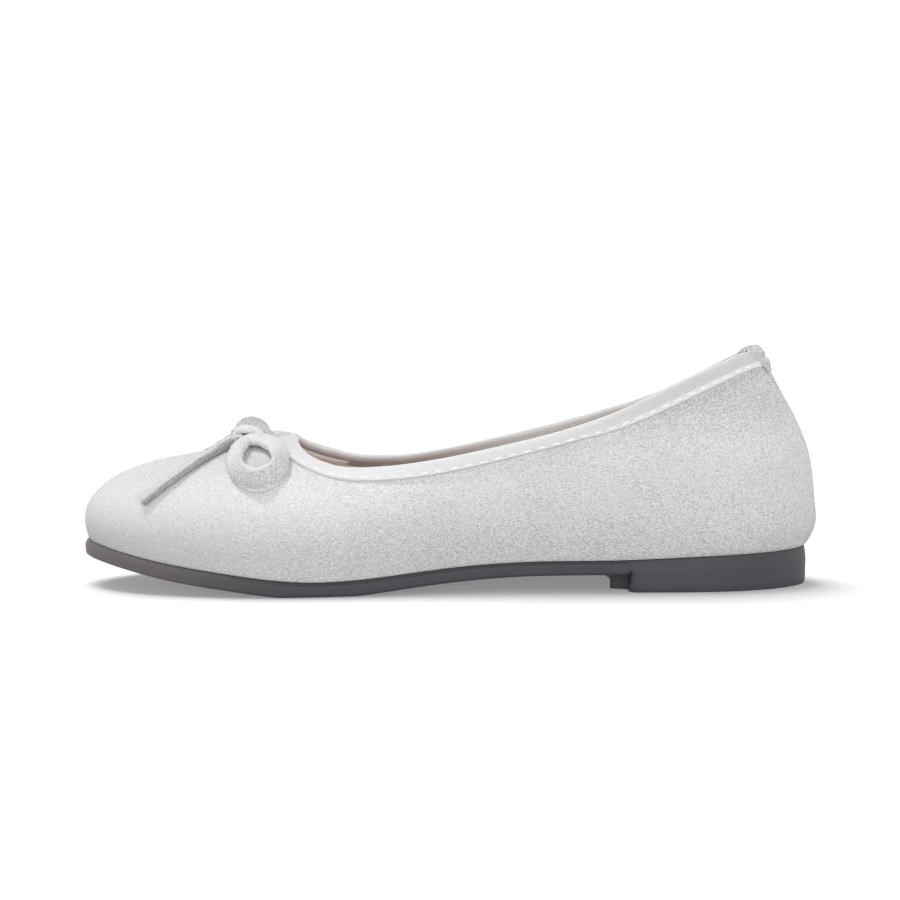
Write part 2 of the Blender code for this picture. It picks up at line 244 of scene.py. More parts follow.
TRIMS = (
    Trim(-52.0, 5.3, -1.9, 0.0, 0.4),
    Trim(-49.0, 5.4, -1.7, 0.0, 1.0),
    Trim(-46.0, 5.5, -1.2, 0.0, 1.7),
    Trim(-41.0, 5.5, -0.2, 0.0, 1.6),
    Trim(-36.0, 5.3, 0.0, -0.1, 0.9),
    Trim(-30.0, 5.2, 0.0, -0.2, 0.2),
    Trim(-17.0, 4.7, 0.0, -0.4, -0.6),
    Trim(0.0, 4.2, 0.0, -0.4, -0.2),
    Trim(14.0, 3.8, 0.0, -0.3, 0.3),
    Trim(28.0, 3.4, 0.0, -0.2, 0.5),
    Trim(42.0, 3.5, 0.0, 0.0, 0.5),
    Trim(55.0, 4.9, 0.0, 0.0, 0.0),
    Trim(64.0, 5.6, 0.0, 0.0, -0.8),
    Trim(73.0, 6.1, 0.0, -0.1, -1.3),
    Trim(82.0, 6.3, 0.0, -0.5, -1.2),
    Trim(90.0, 6.0, 0.0, -0.5, -0.8),
    Trim(98.0, 5.4, 0.0, 0.0, 0.0),
    Trim(105.0, 4.8, 0.0, 0.0, 0.0),
)


class Swell(NamedTuple):
    """A swell of the upper, in millimetres: place, reach and height, below zero in a hollow."""

    at: float
    reach: float
    height: float


class TabFold(NamedTuple):
    """One place down the heel tab, in millimetres: distance below the topline and off the upper.

    The width is a share of the tab's half width.
    """

    below: float
    out: float
    width: float


class TreadZone(NamedTuple):
    """A stretch of tread, in millimetres: its middle, and how far off it is full and ends."""

    middle: float
    full: float
    end: float


class Side(Enum):
    """A side of the bow: its name, and how far its loop and its tail reach from the knot."""

    MEDIAL = ("medial", -1.0, -1.0)
    LATERAL = ("lateral", 0.96, 0.74)

    @property
    def label(self) -> str:
        """Word for the side in a piece's name."""
        return self.value[0]

    @property
    def loop_reach(self) -> float:
        """Share of the loop's route across, below zero on the medial side."""
        return self.value[1]

    @property
    def tail_reach(self) -> float:
        """Share of the tail's route across, below zero on the medial side."""
        return self.value[2]


class ClosedCurve:
    """Smooth closed curve through rows of values, read at a place around from 0 to 1."""

    def __init__(self, knots: np.ndarray, values: np.ndarray) -> None:
        """Fit the slopes at the knots so that the curve bends without a jump.

        Args:
            knots: places of the rows, rising from 0.
            values: one row of numbers for each knot.
        """
        count = len(knots)
        self.knots = knots
        self.values = values
        self.steps = np.diff(np.append(knots, knots[0] + 1.0))
        rises = (np.roll(values, -1, axis=0) - values) / self.steps[:, None]
        weights = np.zeros((count, count))
        for i in range(count):
            weights[i, i - 1] += 1 / self.steps[i - 1]
            weights[i, i] += 2 / self.steps[i - 1] + 2 / self.steps[i]
            weights[i, (i + 1) % count] += 1 / self.steps[i]
        bends = rises / self.steps[:, None]
        self.slopes = np.linalg.solve(weights, 3 * (np.roll(bends, 1, axis=0) + bends))

    def at(self, place: float) -> tuple[np.ndarray, np.ndarray]:
        """Read the curve.

        Args:
            place: place around, taken round the ring where it lies outside 0 to 1.

        Returns:
            The row of values there and its slope.
        """
        place = place % 1.0
        i = int(np.searchsorted(self.knots, place, side="right")) - 1
        j = (i + 1) % len(self.knots)
        step = self.steps[i]
        t = (place - self.knots[i]) / step
        start = self.values[i]
        turn = step * self.slopes[i]
        square = 3 * (self.values[j] - start) - 2 * turn - step * self.slopes[j]
        cube = 2 * (start - self.values[j]) + turn + step * self.slopes[j]
        value = start + t * (turn + t * (square + t * cube))
        return value, (turn + t * (2 * square + 3 * t * cube)) / step


class Last:
    """The shape that the pieces share: ribs around the shoe from feather line to topline.

    A place around runs from 0 at the heel back, along the medial side, to 0.5 at the toe tip, and
    back along the lateral side to 1.
    """

    GAP = 0.3 * MM
    RIB_SAMPLES = 60
    RIB_LOWEST = 0.3
    HALVINGS = 60
    TOPLINE_SAMPLES = 600
    RIM = slice(9, 12)

    def __init__(self, stations: Sequence[Station]) -> None:
        """Fit the feather line, the sole's underside and the ribs.

        Args:
            stations: places along the last from the heel back to the toe tip.
        """
        ring = [(s, -1) for s in stations] + [(s, 1) for s in stations[-2:0:-1]]
        feet = np.array([self.foot(s, side) for s, side in ring]) * MM
        rims = np.array([self.rim(s, side) for s, side in ring]) * MM
        knots = self.spread(stations)
        self.outline = ClosedCurve(knots, feet)
        self.underside = ClosedCurve(knots, np.array([[s.under_z] for s, _ in ring]) * MM)
        outward = np.array([self.outward(knot) for knot in knots])
        shape = np.array([(s.low_out, s.low_up, s.lean, s.high_out, s.high_down) for s, _ in ring])
        low_out, low_up, lean, high_out, high_down = (shape * (MM, MM, 1, MM, MM)).T[:, :, None]
        low = feet + outward * low_out + UP * low_up
        level_reach = (feet - rims) * (1, 1, 0)
        high = rims + level_reach * lean + outward * high_out - UP * high_down
        self.ribs = ClosedCurve(knots, np.hstack((feet + UP * self.GAP, low, high, rims)))

    @staticmethod
    def foot(station: Station, side: int) -> tuple[float, float, float]:
        """Feather point of a station on one side."""
        width = station.foot_medial if side < 0 else station.foot_lateral
        return station.foot_x, side * width, station.foot_z

    @staticmethod
    def rim(station: Station, side: int) -> tuple[float, float, float]:
        """Read the topline point of a station.

        Args:
            station: place along the last.
            side: -1 on the medial side, 1 on the lateral side.

        Returns:
            The point, in millimetres.
        """
        if side < 0:
            return station.rim_x, -station.rim_medial, station.rim_z_medial
        return station.rim_x, station.rim_lateral, station.rim_z_lateral

    @staticmethod
    def spread(stations: Sequence[Station]) -> np.ndarray:
        """Places of the stations around the shoe, by their mean distance apart on the two sides.

        Args:
            stations: places along the last from heel to toe.

        Returns:
            The places around, first down the medial side and then back up the lateral side.
        """
        medial = np.array([(s.foot_x, s.foot_medial) for s in stations])
        lateral = np.array([(s.foot_x, s.foot_lateral) for s in stations])
        apart = [np.linalg.norm(np.diff(side, axis=0), axis=1) for side in (medial, lateral)]
        half = np.append(0.0, np.cumsum(sum(apart)))
        half *= 0.5 / half[-1]
        return np.append(half, 1.0 - half[-2:0:-1])

    def outward(self, around: float) -> np.ndarray:
        """Read the level direction out of the feather outline.

        Args:
            around: place around the shoe.

        Returns:
            The direction, of length 1.
        """
        slope = self.outline.at(around)[1]
        across = np.array((-slope[1], slope[0], 0.0))
        return across / np.linalg.norm(across)

    def around_at(self, x: float) -> float:
        """Find a place on the medial side.

        Args:
            x: place along the shoe.

        Returns:
            The place around where the feather line crosses it.
        """
        low, high = 0.0, 0.5
        for _ in range(self.HALVINGS):
            middle = (low + high) / 2
            if self.outline.at(middle)[0][0] > x:
                low = middle
            else:
                high = middle
        return low

    def rib(self, around: float, ups: np.ndarray) -> tuple[np.ndarray, np.ndarray]:
        """Read the upper's outer face along one rib.

        Args:
            around: place around the shoe.
            ups: shares of the rib, from 0 at the sole to 1 at the topline.

        Returns:
            The points and their outward normals.
        """
        values, slopes = self.ribs.at(around)
        points, turns = values.reshape(4, 3), slopes.reshape(4, 3)
        up = np.asarray(ups, float)[:, None]
        down = 1 - up
        mix = np.hstack((down**3, 3 * up * down**2, 3 * up**2 * down, up**3))
        rise = np.hstack((
            -3 * down**2, 3 * down * (down - 2 * up), 3 * up * (2 * down - up), 3 * up**2))
        normals = np.cross(rise @ points, mix @ turns)
        return mix @ points, normals / np.linalg.norm(normals, axis=1)[:, None]

    def below_rim(self, around: float, belows: np.ndarray, outs: np.ndarray) -> np.ndarray:
        """Read points by their distance down a rib.

        Args:
            around: place around the shoe.
            belows: distances below the topline, under zero above it.
            outs: distances off the outer face.

        Returns:
            The points.
        """
        ups = np.linspace(1.0, self.RIB_LOWEST, self.RIB_SAMPLES)
        points, _ = self.rib(around, ups)
        lengths = np.append(0.0, np.cumsum(np.linalg.norm(np.diff(points, axis=0), axis=1)))
        seats, normals = self.rib(around, np.interp(np.maximum(belows, 0.0), lengths, ups))
        past = (points[0] - points[1]) / lengths[1]
        above = np.maximum(-belows, 0.0)[:, None] * past
        return seats + above + normals * np.asarray(outs)[:, None]

    def edge(self, around: float, out: float, height: float) -> np.ndarray:
        """Point beside the feather outline at a height above the floor."""
        point = self.outline.at(around)[0] + self.outward(around) * out
        return np.array((point[0], point[1], height))

    def rim_at(self, around: float) -> np.ndarray:
        """Point of the topline."""
        return self.ribs.at(around)[0][self.RIM]

    def topline(self) -> tuple[np.ndarray, np.ndarray]:
        """Measure the topline.

        Returns:
            The places around, from 0 to 1, and the length of the topline up to each.
        """
        arounds = np.linspace(0.0, 1.0, self.TOPLINE_SAMPLES + 1)
        points = np.array([self.rim_at(around) for around in arounds])
        lengths = np.append(0.0, np.cumsum(np.linalg.norm(np.diff(points, axis=0), axis=1)))
        return arounds, lengths


PIECES: list[bpy.types.Object] = []


def trim_at(rim: np.ndarray) -> tuple[float, float, float]:
    """Read how the ribbon sits at a point of the topline.

    Args:
        rim: the point.

    Returns:
        Its depth, slide and lift.
    """
    places = [trim.x * MM for trim in TRIMS]
    lifts = [trim.lift_medial if rim[1] < 0 else trim.lift_lateral for trim in TRIMS]
    rows = np.array([(trim.depth, trim.slide, lift) for trim, lift in zip(TRIMS, lifts)]) * MM
    depth, slide, lift = (float(np.interp(rim[0], places, row)) for row in rows.T)
    return depth, slide, lift


def smooth_step(value: np.ndarray, low: float, high: float) -> np.ndarray:
    """Share from 0 to 1 of the way from low to high, eased at both ends."""
    share = np.clip((value - low) / (high - low), 0.0, 1.0)
    return share * share * (3 - 2 * share)


def smooth_path(points: Sequence[np.ndarray], steps: int) -> np.ndarray:
    """Read a smooth curve through points.

    Args:
        points: points that the curve passes.
        steps: steps from each point to the next.

    Returns:
        The curve's points.
    """
    padded = [2 * points[0] - points[1], *points, 2 * points[-1] - points[-2]]
    path = []
    for a, b, c, d in zip(padded, padded[1:], padded[2:], padded[3:]):
        for step in range(steps):
            t = step / steps
            bend = (2 * a - 5 * b + 4 * c - d) * t + (3 * b - a - 3 * c + d) * t * t
            path.append(b + ((c - a) + bend) * t / 2)
    path.append(points[-1])
    return np.array(path)


def hump(value: Values, reach: float) -> Values:
    """Bell curve that is 1 at zero and fades over a reach."""
    return np.exp(-((value / reach) ** 2))


def bent_grid(columns: Sequence[np.ndarray]) -> bmesh.types.BMesh:
    """Bend a flat grid onto columns of points and weld the edges that meet.

    Args:
        columns: one array of points for each line of the grid, all of one length.

    Returns:
        The sheet, with a UV map of its shares along and across the columns.
    """
    count, rows = len(columns) - 1, len(columns[0]) - 1
    bm = bmesh.new()
    bm.loops.layers.uv.new("shares")
    bmesh.ops.create_grid(bm, x_segments=count, y_segments=rows, size=0.5, calc_uvs=True)
    for vert in bm.verts:
        column = columns[round((vert.co.x + 0.5) * count)]
        vert.co = column[round((vert.co.y + 0.5) * rows)]
    bmesh.ops.remove_doubles(bm, verts=bm.verts, dist=WELD)
    bmesh.ops.dissolve_degenerate(bm, edges=bm.edges, dist=WELD)
    return bm


def close_up(bm: bmesh.types.BMesh) -> bmesh.types.BMesh:
    """Fill any open ends and turn the faces outwards.

    Args:
        bm: a bent grid.

    Returns:
        The same mesh, closed.
    """
    ends = [edge for edge in bm.edges if edge.is_boundary]
    if ends:
        bmesh.ops.edgeloop_fill(bm, edges=ends)
    bmesh.ops.recalc_face_normals(bm, faces=bm.faces)
    return bm


def face_up(bm: bmesh.types.BMesh) -> bmesh.types.BMesh:
    """Turn a sheet over if most of it faces down.

    Args:
        bm: the sheet.

    Returns:
        The same sheet.
    """
    if sum(face.normal.z * face.calc_area() for face in bm.faces) < 0:
        bmesh.ops.reverse_faces(bm, faces=bm.faces)
    return bm


def joined(parts: Sequence[bmesh.types.BMesh]) -> bmesh.types.BMesh:
    """Put meshes into one.

    Args:
        parts: the meshes, which are freed.

    Returns:
        The one mesh.
    """
    bm = bmesh.new()
    for part in parts:
        mesh = bpy.data.meshes.new("part")
        part.to_mesh(mesh)
        part.free()
        bm.from_mesh(mesh)
        bpy.data.meshes.remove(mesh)
    return bm


def ruffle(bm: bmesh.types.BMesh, height: float, size: float) -> None:
    """Push a closed mesh in and out a little, as soft goods are never quite even.

    Args:
        bm: the mesh, whose normals are up to date.
        height: the most that a point moves.
        size: distance from one hump to the next.
    """
    bm.normal_update()
    moves = [(vert, vert.normal * (height * noise.noise(vert.co / size))) for vert in bm.verts]
    for vert, move in moves:
        vert.co += move


def add_piece(
    name: str,
    bm: bmesh.types.BMesh,
    material: bpy.types.Material,
    replaced: Sequence[str] = (),
    sharp: float = 50.0,
) -> bpy.types.Object:
    """Make a piece of the shoe from a mesh.

    Args:
        name: name of the piece.
        bm: its mesh, which is freed.
        material: its finish.
        replaced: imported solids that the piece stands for.
        sharp: angle in degrees from which an edge shades as sharp.

    Returns:
        The piece, riding on the shoe's body.
    """
    mesh = bpy.data.meshes.new(name)
    bm.to_mesh(mesh)
    bm.free()
    mesh.shade_smooth()
    mesh.set_sharp_from_angle(angle=radians(sharp))
    mesh.materials.append(material)
    piece = bpy.data.objects.new(name, mesh)
    bpy.context.scene.collection.objects.link(piece)
    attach(piece, "root")
    if replaced:
        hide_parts(*replaced)
    PIECES.append(piece)
    LOG.info("%s: %d faces", name, len(mesh.polygons))
    return piece


def thicken(piece: bpy.types.Object, thickness: float, offset: float) -> None:
    """Give a sheet its wall.

    Args:
        piece: the sheet.
        thickness: thickness of the wall.
        offset: -1 to grow it inwards, 1 outwards.
    """
    solidify = piece.modifiers.new("wall", "SOLIDIFY")
    solidify.thickness = thickness
    solidify.offset = offset
    solidify.use_even_offset = True
    solidify.use_quality_normals = True


Operand = Union["Shade", float]


class Shade:
    """A number in a material's nodes; Python's operators on it add Math nodes."""

    def __init__(self, tree: "ShaderTree", socket: bpy.types.NodeSocket) -> None:
        """Keep the socket and the tree that it is in."""
        self.tree = tree
        self.socket = socket

    def math(self, operation: str, first: Operand, second: Operand) -> "Shade":
        """Add one Math node and return what it gives."""
        node = self.tree.node("ShaderNodeMath", {"operation": operation}, {0: first, 1: second})
        return Shade(self.tree, node.outputs[0])

    def __add__(self, other: Operand) -> "Shade":
        """Sum."""
        return self.math("ADD", self, other)

    __radd__ = __add__

    def __mul__(self, other: Operand) -> "Shade":
        """Product."""
        return self.math("MULTIPLY", self, other)

    __rmul__ = __mul__

    def __sub__(self, other: Operand) -> "Shade":
        """Difference."""
        return self.math("SUBTRACT", self, other)

    def __rsub__(self, other: Operand) -> "Shade":
        """Difference from a number."""
        return self.math("SUBTRACT", other, self)

    def __abs__(self) -> "Shade":
        """Size without its sign."""
        return self.math("ABSOLUTE", self, 0.0)

    def sine(self) -> "Shade":
        """Sine of the number, in radians."""
        return self.math("SINE", self, 0.0)

    def ease(self, low: float, high: float) -> "Shade":
        """Ease the number from 0 to 1 between two values.

        Args:
            low: value that gives 0.
            high: value that gives 1.

        Returns:
            The share.
        """
        settings = {"interpolation_type": "SMOOTHSTEP"}
        inputs = {"Value": self, "From Min": low, "From Max": high}
        node = self.tree.node("ShaderNodeMapRange", settings, inputs)
        return Shade(self.tree, node.outputs["Result"])


class ShaderTree:
    """Nodes of a material or of the world."""

    NOISE_ROUGHNESS = 0.55

    def __init__(self, owner: bpy.types.Material | bpy.types.World) -> None:
        """Turn the owner's nodes on and keep them.

        Args:
            owner: material or world that has the nodes.
        """
        owner.use_nodes = True
        self.owner = owner
        self.tree = owner.node_tree

    def node(
        self, kind: str, settings: dict | None = None, inputs: dict | None = None
    ) -> bpy.types.Node:
        """Add a node.

        Args:
            kind: the node's type.
            settings: its own settings, set first.
            inputs: values or links of its sockets, by name or number.

        Returns:
            The node.
        """
        node = self.tree.nodes.new(kind)
        for name, value in (settings or {}).items():
            setattr(node, name, value)
        for key, value in (inputs or {}).items():
            self.feed(node.inputs[key], value)
        return node

    def feed(self, socket: bpy.types.NodeSocket, value: object) -> None:
        """Link a socket or set its value.

        Args:
            socket: the input.
            value: a number, a colour or an output.
        """
        if isinstance(value, Shade):
            self.tree.links.new(value.socket, socket)
        elif isinstance(value, bpy.types.NodeSocket):
            self.tree.links.new(value, socket)
        else:
            socket.default_value = value

    def place(self, stretch: Colour = (1.0, 1.0, 1.0)) -> bpy.types.NodeSocket:
        """Read Object coordinates.

        Args:
            stretch: how much to stretch them along each axis.

        Returns:
            The coordinates.
        """
        coordinates = self.node("ShaderNodeTexCoord").outputs["Object"]
        inputs = {"Vector": coordinates, "Scale": stretch}
        return self.node("ShaderNodeMapping", None, inputs).outputs["Vector"]

    def split(self, vector: bpy.types.NodeSocket) -> tuple[Shade, Shade, Shade]:
        """Three numbers of a vector."""
        outputs = self.node("ShaderNodeSeparateXYZ", None, {"Vector": vector}).outputs
        return Shade(self, outputs["X"]), Shade(self, outputs["Y"]), Shade(self, outputs["Z"])

    def shares(self) -> tuple[Shade, Shade]:
        """Read a bent grid's UV map.

        Returns:
            The shares along and across the grid.
        """
        uv_map = self.node("ShaderNodeUVMap", {"uv_map": "shares"})
        along, across, _ = self.split(uv_map.outputs["UV"])
        return along, across

    def noise(
        self, vector: bpy.types.NodeSocket, size: float, detail: float = 2.0, waves: float = 0.0
    ) -> Shade:
        """Soft noise from about 0 to 1.

        Args:
            vector: coordinates in metres.
            size: distance from one fleck to the next.
            detail: how many finer layers it has.
            waves: how much the flecks are bent into waves.

        Returns:
            The noise.
        """
        inputs = {
            "Vector": vector,
            "Scale": 1 / size,
            "Detail": detail,
            "Roughness": self.NOISE_ROUGHNESS,
            "Distortion": waves,
        }
        return Shade(self, self.node("ShaderNodeTexNoise", None, inputs).outputs["Fac"])

    def blend(self, factor: Operand, first: object, second: object) -> bpy.types.NodeSocket:
        """Mix two colours.

        Args:
            factor: share of the second colour.
            first: a colour or an output.
            second: a colour or an output.

        Returns:
            The mixed colour.
        """
        colours = [(*c, 1.0) if isinstance(c, tuple) else c for c in (first, second)]
        inputs = {0: factor, 6: colours[0], 7: colours[1]}
        return self.node("ShaderNodeMix", {"data_type": "RGBA"}, inputs).outputs[2]

    def bump(self, height: Shade, distance: float, strength: float) -> bpy.types.NodeSocket:
        """Turn a height into a normal."""
        inputs = {"Height": height, "Distance": distance, "Strength": strength}
        return self.node("ShaderNodeBump", None, inputs).outputs["Normal"]

    def finish(self, **sockets: object) -> bpy.types.Material:
        """Feed a material's shader, with spaces in the sockets' names written as underscores.

        Args:
            sockets: values or links by socket.

        Returns:
            The material.
        """
        shader = self.tree.nodes["Principled BSDF"]
        for name, value in sockets.items():
            self.feed(shader.inputs[name.replace("_", " ")], value)
        return self.owner


@dataclass(frozen=True)
class Suede:
    """Pale micro-suede: a matt nap of short fibres that lie along the shoe in fine wavy ridges.

    The nap lies smooth at the toe and stands more open towards the heel. The shares of pale tips
    say how much of them shows, with what is added heelward, and painted light added up the wall
    away from the floor's shade. The shares of roots are taken off as painted shade high on the
    heel, and where the suede is raw, greyed partly as painted shade. Spans are in metres along the
    shoe or above the floor.
    """

    name: str = "suede_nap"
    root: Colour = (0.36, 0.36, 0.36)
    tip: Colour = (0.81, 0.81, 0.81)
    fibre: float = 0.42 * MM
    fibre_waves: float = 0.6
    hairs_in_fibre: float = 2.5
    patch: float = 4.0 * MM
    cloud: float = 28 * MM
    lie: Colour = (0.6, 0.6, 1.9)
    relief: float = 0.40 * MM
    ridge_height: float = 0.7
    hair_height: float = 0.3
    bump_strength: float = 0.9
    smooth_to_open: Span = (-0.13, 0.06)
    # Heights over which painted light brightens the wall away from the floor's shade.
    wall_foot: Span = (0.013, 0.034)
    # Where painted shade darkens the top of the heel: along the shoe, then above the floor.
    heel_top_shade_along: Span = (0.045, 0.09)
    heel_top_shade_up: Span = (0.045, 0.062)
    smooth_share: float = 0.25
    raw_opening: float = 0.5
    ridge_contrast: float = 2.4
    hair_contrast: float = 1.1
    patch_contrast: float = 0.06
    cloud_contrast: float = 0.25
    tips: float = 0.43
    tips_heelward: float = 0.13
    wall_light_share: float = 0.19
    heel_top_shade_share: float = 0.24
    raw_shade_share: float = 0.45

    def raw_and_shade(self, tree: ShaderTree) -> Operand:
        """Share of raw, rougher suede, greyed partly as painted shade, at a place: none on the
        upper.
        """
        return 0.0

    def material(self) -> bpy.types.Material:
        """Build the finish.

        Returns:
            The material.
        """
        tree = ShaderTree(bpy.data.materials.new(self.name))
        place = tree.place(self.lie)
        ridges = tree.noise(place, self.fibre, 1.0, self.fibre_waves)
        hairs = tree.noise(place, self.fibre / self.hairs_in_fibre)
        patches = tree.noise(place, self.patch)
        clouds = tree.noise(tree.place(), self.cloud)
        along, _, height = tree.split(tree.place())
        # Painted shade high on the heel.
        heel_top_shade = along.ease(*self.heel_top_shade_along) * height.ease(*self.heel_top_shade_up)
        raw = self.raw_and_shade(tree)
        heelward = along.ease(*self.smooth_to_open)
        # Painted light up the wall; near the floor it stays darker as painted shade.
        wall_light = height.ease(*self.wall_foot)
        opening = self.smooth_share + (1 - self.smooth_share) * heelward + self.raw_opening * raw
        tone = (
            self.ridge_contrast * (ridges - 0.5)
            + self.hair_contrast * (hairs - 0.5)
            + self.patch_contrast * (patches - 0.5)
            + self.cloud_contrast * (clouds - 0.5)
        )
        share = (
            self.tips
            + self.tips_heelward * heelward
            + self.wall_light_share * wall_light
            - self.heel_top_shade_share * heel_top_shade
            # Raw strap suede is greyed, partly as painted shade.
            - self.raw_shade_share * raw
            + opening * tone
        )
        nap = opening * (self.ridge_height * ridges + self.hair_height * hairs)
        return tree.finish(
            Base_Color=tree.blend(share.ease(0.0, 1.0), self.root, self.tip),
            Roughness=0.92,
            Specular_IOR_Level=0.15,
            Sheen_Weight=0.12,
            Sheen_Roughness=0.5,
            Normal=tree.bump(nap, self.relief, self.bump_strength),
        )


@dataclass(frozen=True)
class StrapSuede(Suede):
    """Suede of the bow's strap, smooth on its rolled edges and rougher and greyer on its raw face.

    The raw face's grey is partly its own and partly painted shade. It lies around a share along the
    strap and a share of the turn round its section. It is full in its core, a share of its reach
    along and of its half width round, and fades beyond.
    """

    name: str = "strap_suede"
    root: Colour = (0.38, 0.38, 0.38)
    tip: Colour = (0.84, 0.84, 0.84)
    fibre: float = 0.5 * MM
    lie: Colour = (1.6, 1.6, 0.9)
    smooth_share: float = 0.35
    raw_along: float = 0.5
    raw_reach: float = 3.0
    raw_turn: float = 0.25
    raw_half: float = 0.2
    raw_and_shade_depth: float = 0.0
    core_along: float = 0.5
    core_round: float = 0.6

    def raw_and_shade(self, tree: ShaderTree) -> Operand:
        """Find how raw the suede is at a place on the strap, which also sets its painted shade.

        Args:
            tree: the material's nodes.

        Returns:
            The share, from 0 to 1.
        """
        along, across = tree.shares()
        turn = 0.5 - abs(abs(across - self.raw_turn) - 0.5)
        far = abs(along - self.raw_along).ease(self.core_along * self.raw_reach, self.raw_reach)
        past = turn.ease(self.core_round * self.raw_half, self.raw_half)
        return self.raw_and_shade_depth * (1.0 - far) * (1.0 - past)


@dataclass(frozen=True)
class Ribbon:
    """Near-white ribbed ribbon; its inner side is painted with shade, tinted by light off the
    lining.

    The mesh carries its ribs. Their valleys are painted darker as shade, least on top of the roll
    and most low on both sides, at the heel and on the inner side. A band of painted shadow runs
    along the hem. The shares across say where that hem shadow ends, where the ribs start, where the
    roll has its top and where the painted inner shade starts and ends. The spans of heel and throat
    are shares of the way from the throat round to the heel back.
    """

    cycles: float
    hem_shadow_end: float
    ribs_start: float
    roll_top: float
    inner_shade_start: float
    inner_shade_end: float
    name: str = "ribbon_weave"
    # Hem colour: painted shadow along the ribbon's lower edge.
    hem: Colour = (0.58, 0.58, 0.58)
    thread: Colour = (0.74, 0.74, 0.74)
    # Valley colours: painted shade in the rib valleys, outside and inside the shoe.
    valley_shade: Colour = (0.36, 0.36, 0.36)
    # Inner colour: painted shade inside the shoe, tinted by light bounced off the lining.
    inner: Colour = (0.55, 0.50, 0.475)
    inner_valley_shade: Colour = (0.24, 0.208, 0.192)
    heel_span: Span = (0.45, 0.85)
    throat_span: Span = (0.25, 0.6)
    inner_loss: float = 0.75
    faint: float = 0.05
    heel_valley_shade: float = 0.8
    off_top: Span = (0.02, 0.16)
    ribs_fade: float = 0.02
    fleck: float = 0.7 * MM
    fleck_shade: float = 0.1
    relief: float = 0.05 * MM

    def material(self) -> bpy.types.Material:
        """Build the finish.

        Returns:
            The material.
        """
        tree = ShaderTree(bpy.data.materials.new(self.name))
        along, across = tree.shares()
        flecks = tree.noise(tree.place(), self.fleck)
        from_throat = abs(2.0 * along - 1.0)
        heel = from_throat.ease(*self.heel_span)
        throat = 1.0 - self.inner_loss * from_throat.ease(*self.throat_span)
        # Painted inner shade, strongest at the throat and fading towards the heel.
        inside = across.ease(self.inner_shade_start, self.inner_shade_end) * throat
        ribs = 0.5 - 0.5 * (across * (2 * pi * self.cycles) + pi / 2).sine()
        strong = self.faint + (1 - self.faint) * (self.heel_valley_shade * heel + inside * (1.0 - heel))
        ribbed = across.ease(self.ribs_start, self.ribs_start + self.ribs_fade)
        low = abs(across - self.roll_top).ease(*self.off_top) * ribbed
        # Painted shade in the rib valleys, strongest low on both sides, at the heel and inside.
        dark = ribs * strong * low + self.fleck_shade * flecks
        pale = tree.blend(inside, self.thread, self.inner)
        deep = tree.blend(inside, self.valley_shade, self.inner_valley_shade)
        woven = tree.blend(dark, pale, deep)
        return tree.finish(
            # The ribbon's lowest band takes the hem colour as painted shadow.
            Base_Color=tree.blend(across.ease(0.5 * self.hem_shadow_end, self.hem_shadow_end), self.hem, woven),
            Roughness=0.62,
            Specular_IOR_Level=0.3,
            Sheen_Weight=0.1,
            Normal=tree.bump(flecks, self.relief, 0.5),
        )


@dataclass(frozen=True)
class Thread:
    """White sewing thread with a fine ply."""

    name: str = "sewing_thread"
    colour: Colour = (0.92, 0.92, 0.92)
    shade: Colour = (0.78, 0.78, 0.78)
    ply: float = 0.3 * MM
    ply_lie: Colour = (1.0, 1.0, 2.0)
    relief: float = 0.05 * MM

    def material(self) -> bpy.types.Material:
        """Build the finish.

        Returns:
            The material.
        """
        tree = ShaderTree(bpy.data.materials.new(self.name))
        ply = tree.noise(tree.place(self.ply_lie), self.ply)
        return tree.finish(
            Base_Color=tree.blend(ply, self.shade, self.colour),
            Roughness=0.5,
            Normal=tree.bump(ply, self.relief, 0.5),
        )


@dataclass(frozen=True)
class Rubber:
    """Matt brown-grey sole rubber with a fine moulded grain, paler and browner at the toe."""

    name: str = "sole_rubber"
    dark: Colour = (0.047, 0.045, 0.053)
    pale: Colour = (0.122, 0.110, 0.106)
    grain: float = 0.5 * MM
    streak: float = 9 * MM
    streak_lie: Colour = (1.0, 1.0, 6.0)
    toe_span: Span = (0.04, 0.125)
    toe_share: float = 0.75
    streak_share: float = 0.2
    grain_share: float = 0.1
    tones: Span = (0.08, 0.95)
    relief: float = 0.05 * MM

    def material(self) -> bpy.types.Material:
        """Build the finish.

        Returns:
            The material.
        """
        tree = ShaderTree(bpy.data.materials.new(self.name))
        grain = tree.noise(tree.place(), self.grain)
        streaks = tree.noise(tree.place(self.streak_lie), self.streak)
        along, _, _ = tree.split(tree.place())
        toe = (-1.0 * along).ease(*self.toe_span)
        tone = self.toe_share * toe + self.streak_share * streaks + self.grain_share * grain
        return tree.finish(
            Base_Color=tree.blend(tone.ease(*self.tones), self.dark, self.pale),
            Roughness=0.5 + 0.15 * grain,
            Specular_IOR_Level=0.35,
            Normal=tree.bump(grain, self.relief, 0.5),
        )


@dataclass(frozen=True)
class Lining:
    """Taupe lining cloth with a fine even weave, a little worn in patches."""

    name: str = "lining_cloth"
    dark: Colour = (0.74, 0.635, 0.58)
    pale: Colour = (0.85, 0.755, 0.705)
    thread: float = 0.7 * MM
    patch: float = 18 * MM
    weave_share: float = 0.6
    wear_share: float = 0.4
    tones: Span = (0.3, 0.7)
    relief: float = 0.08 * MM

    def material(self) -> bpy.types.Material:
        """Build the finish.

        Returns:
            The material.
        """
        tree = ShaderTree(bpy.data.materials.new(self.name))
        weave = tree.noise(tree.place(), self.thread, 1.0)
        wear = tree.noise(tree.place(), self.patch)
        tone = self.weave_share * weave + self.wear_share * wear
        return tree.finish(
            Base_Color=tree.blend(tone.ease(*self.tones), self.dark, self.pale),
            Roughness=0.8,
            Specular_IOR_Level=0.25,
            Sheen_Weight=0.1,
            Normal=tree.bump(weave, self.relief, 0.5),
        )


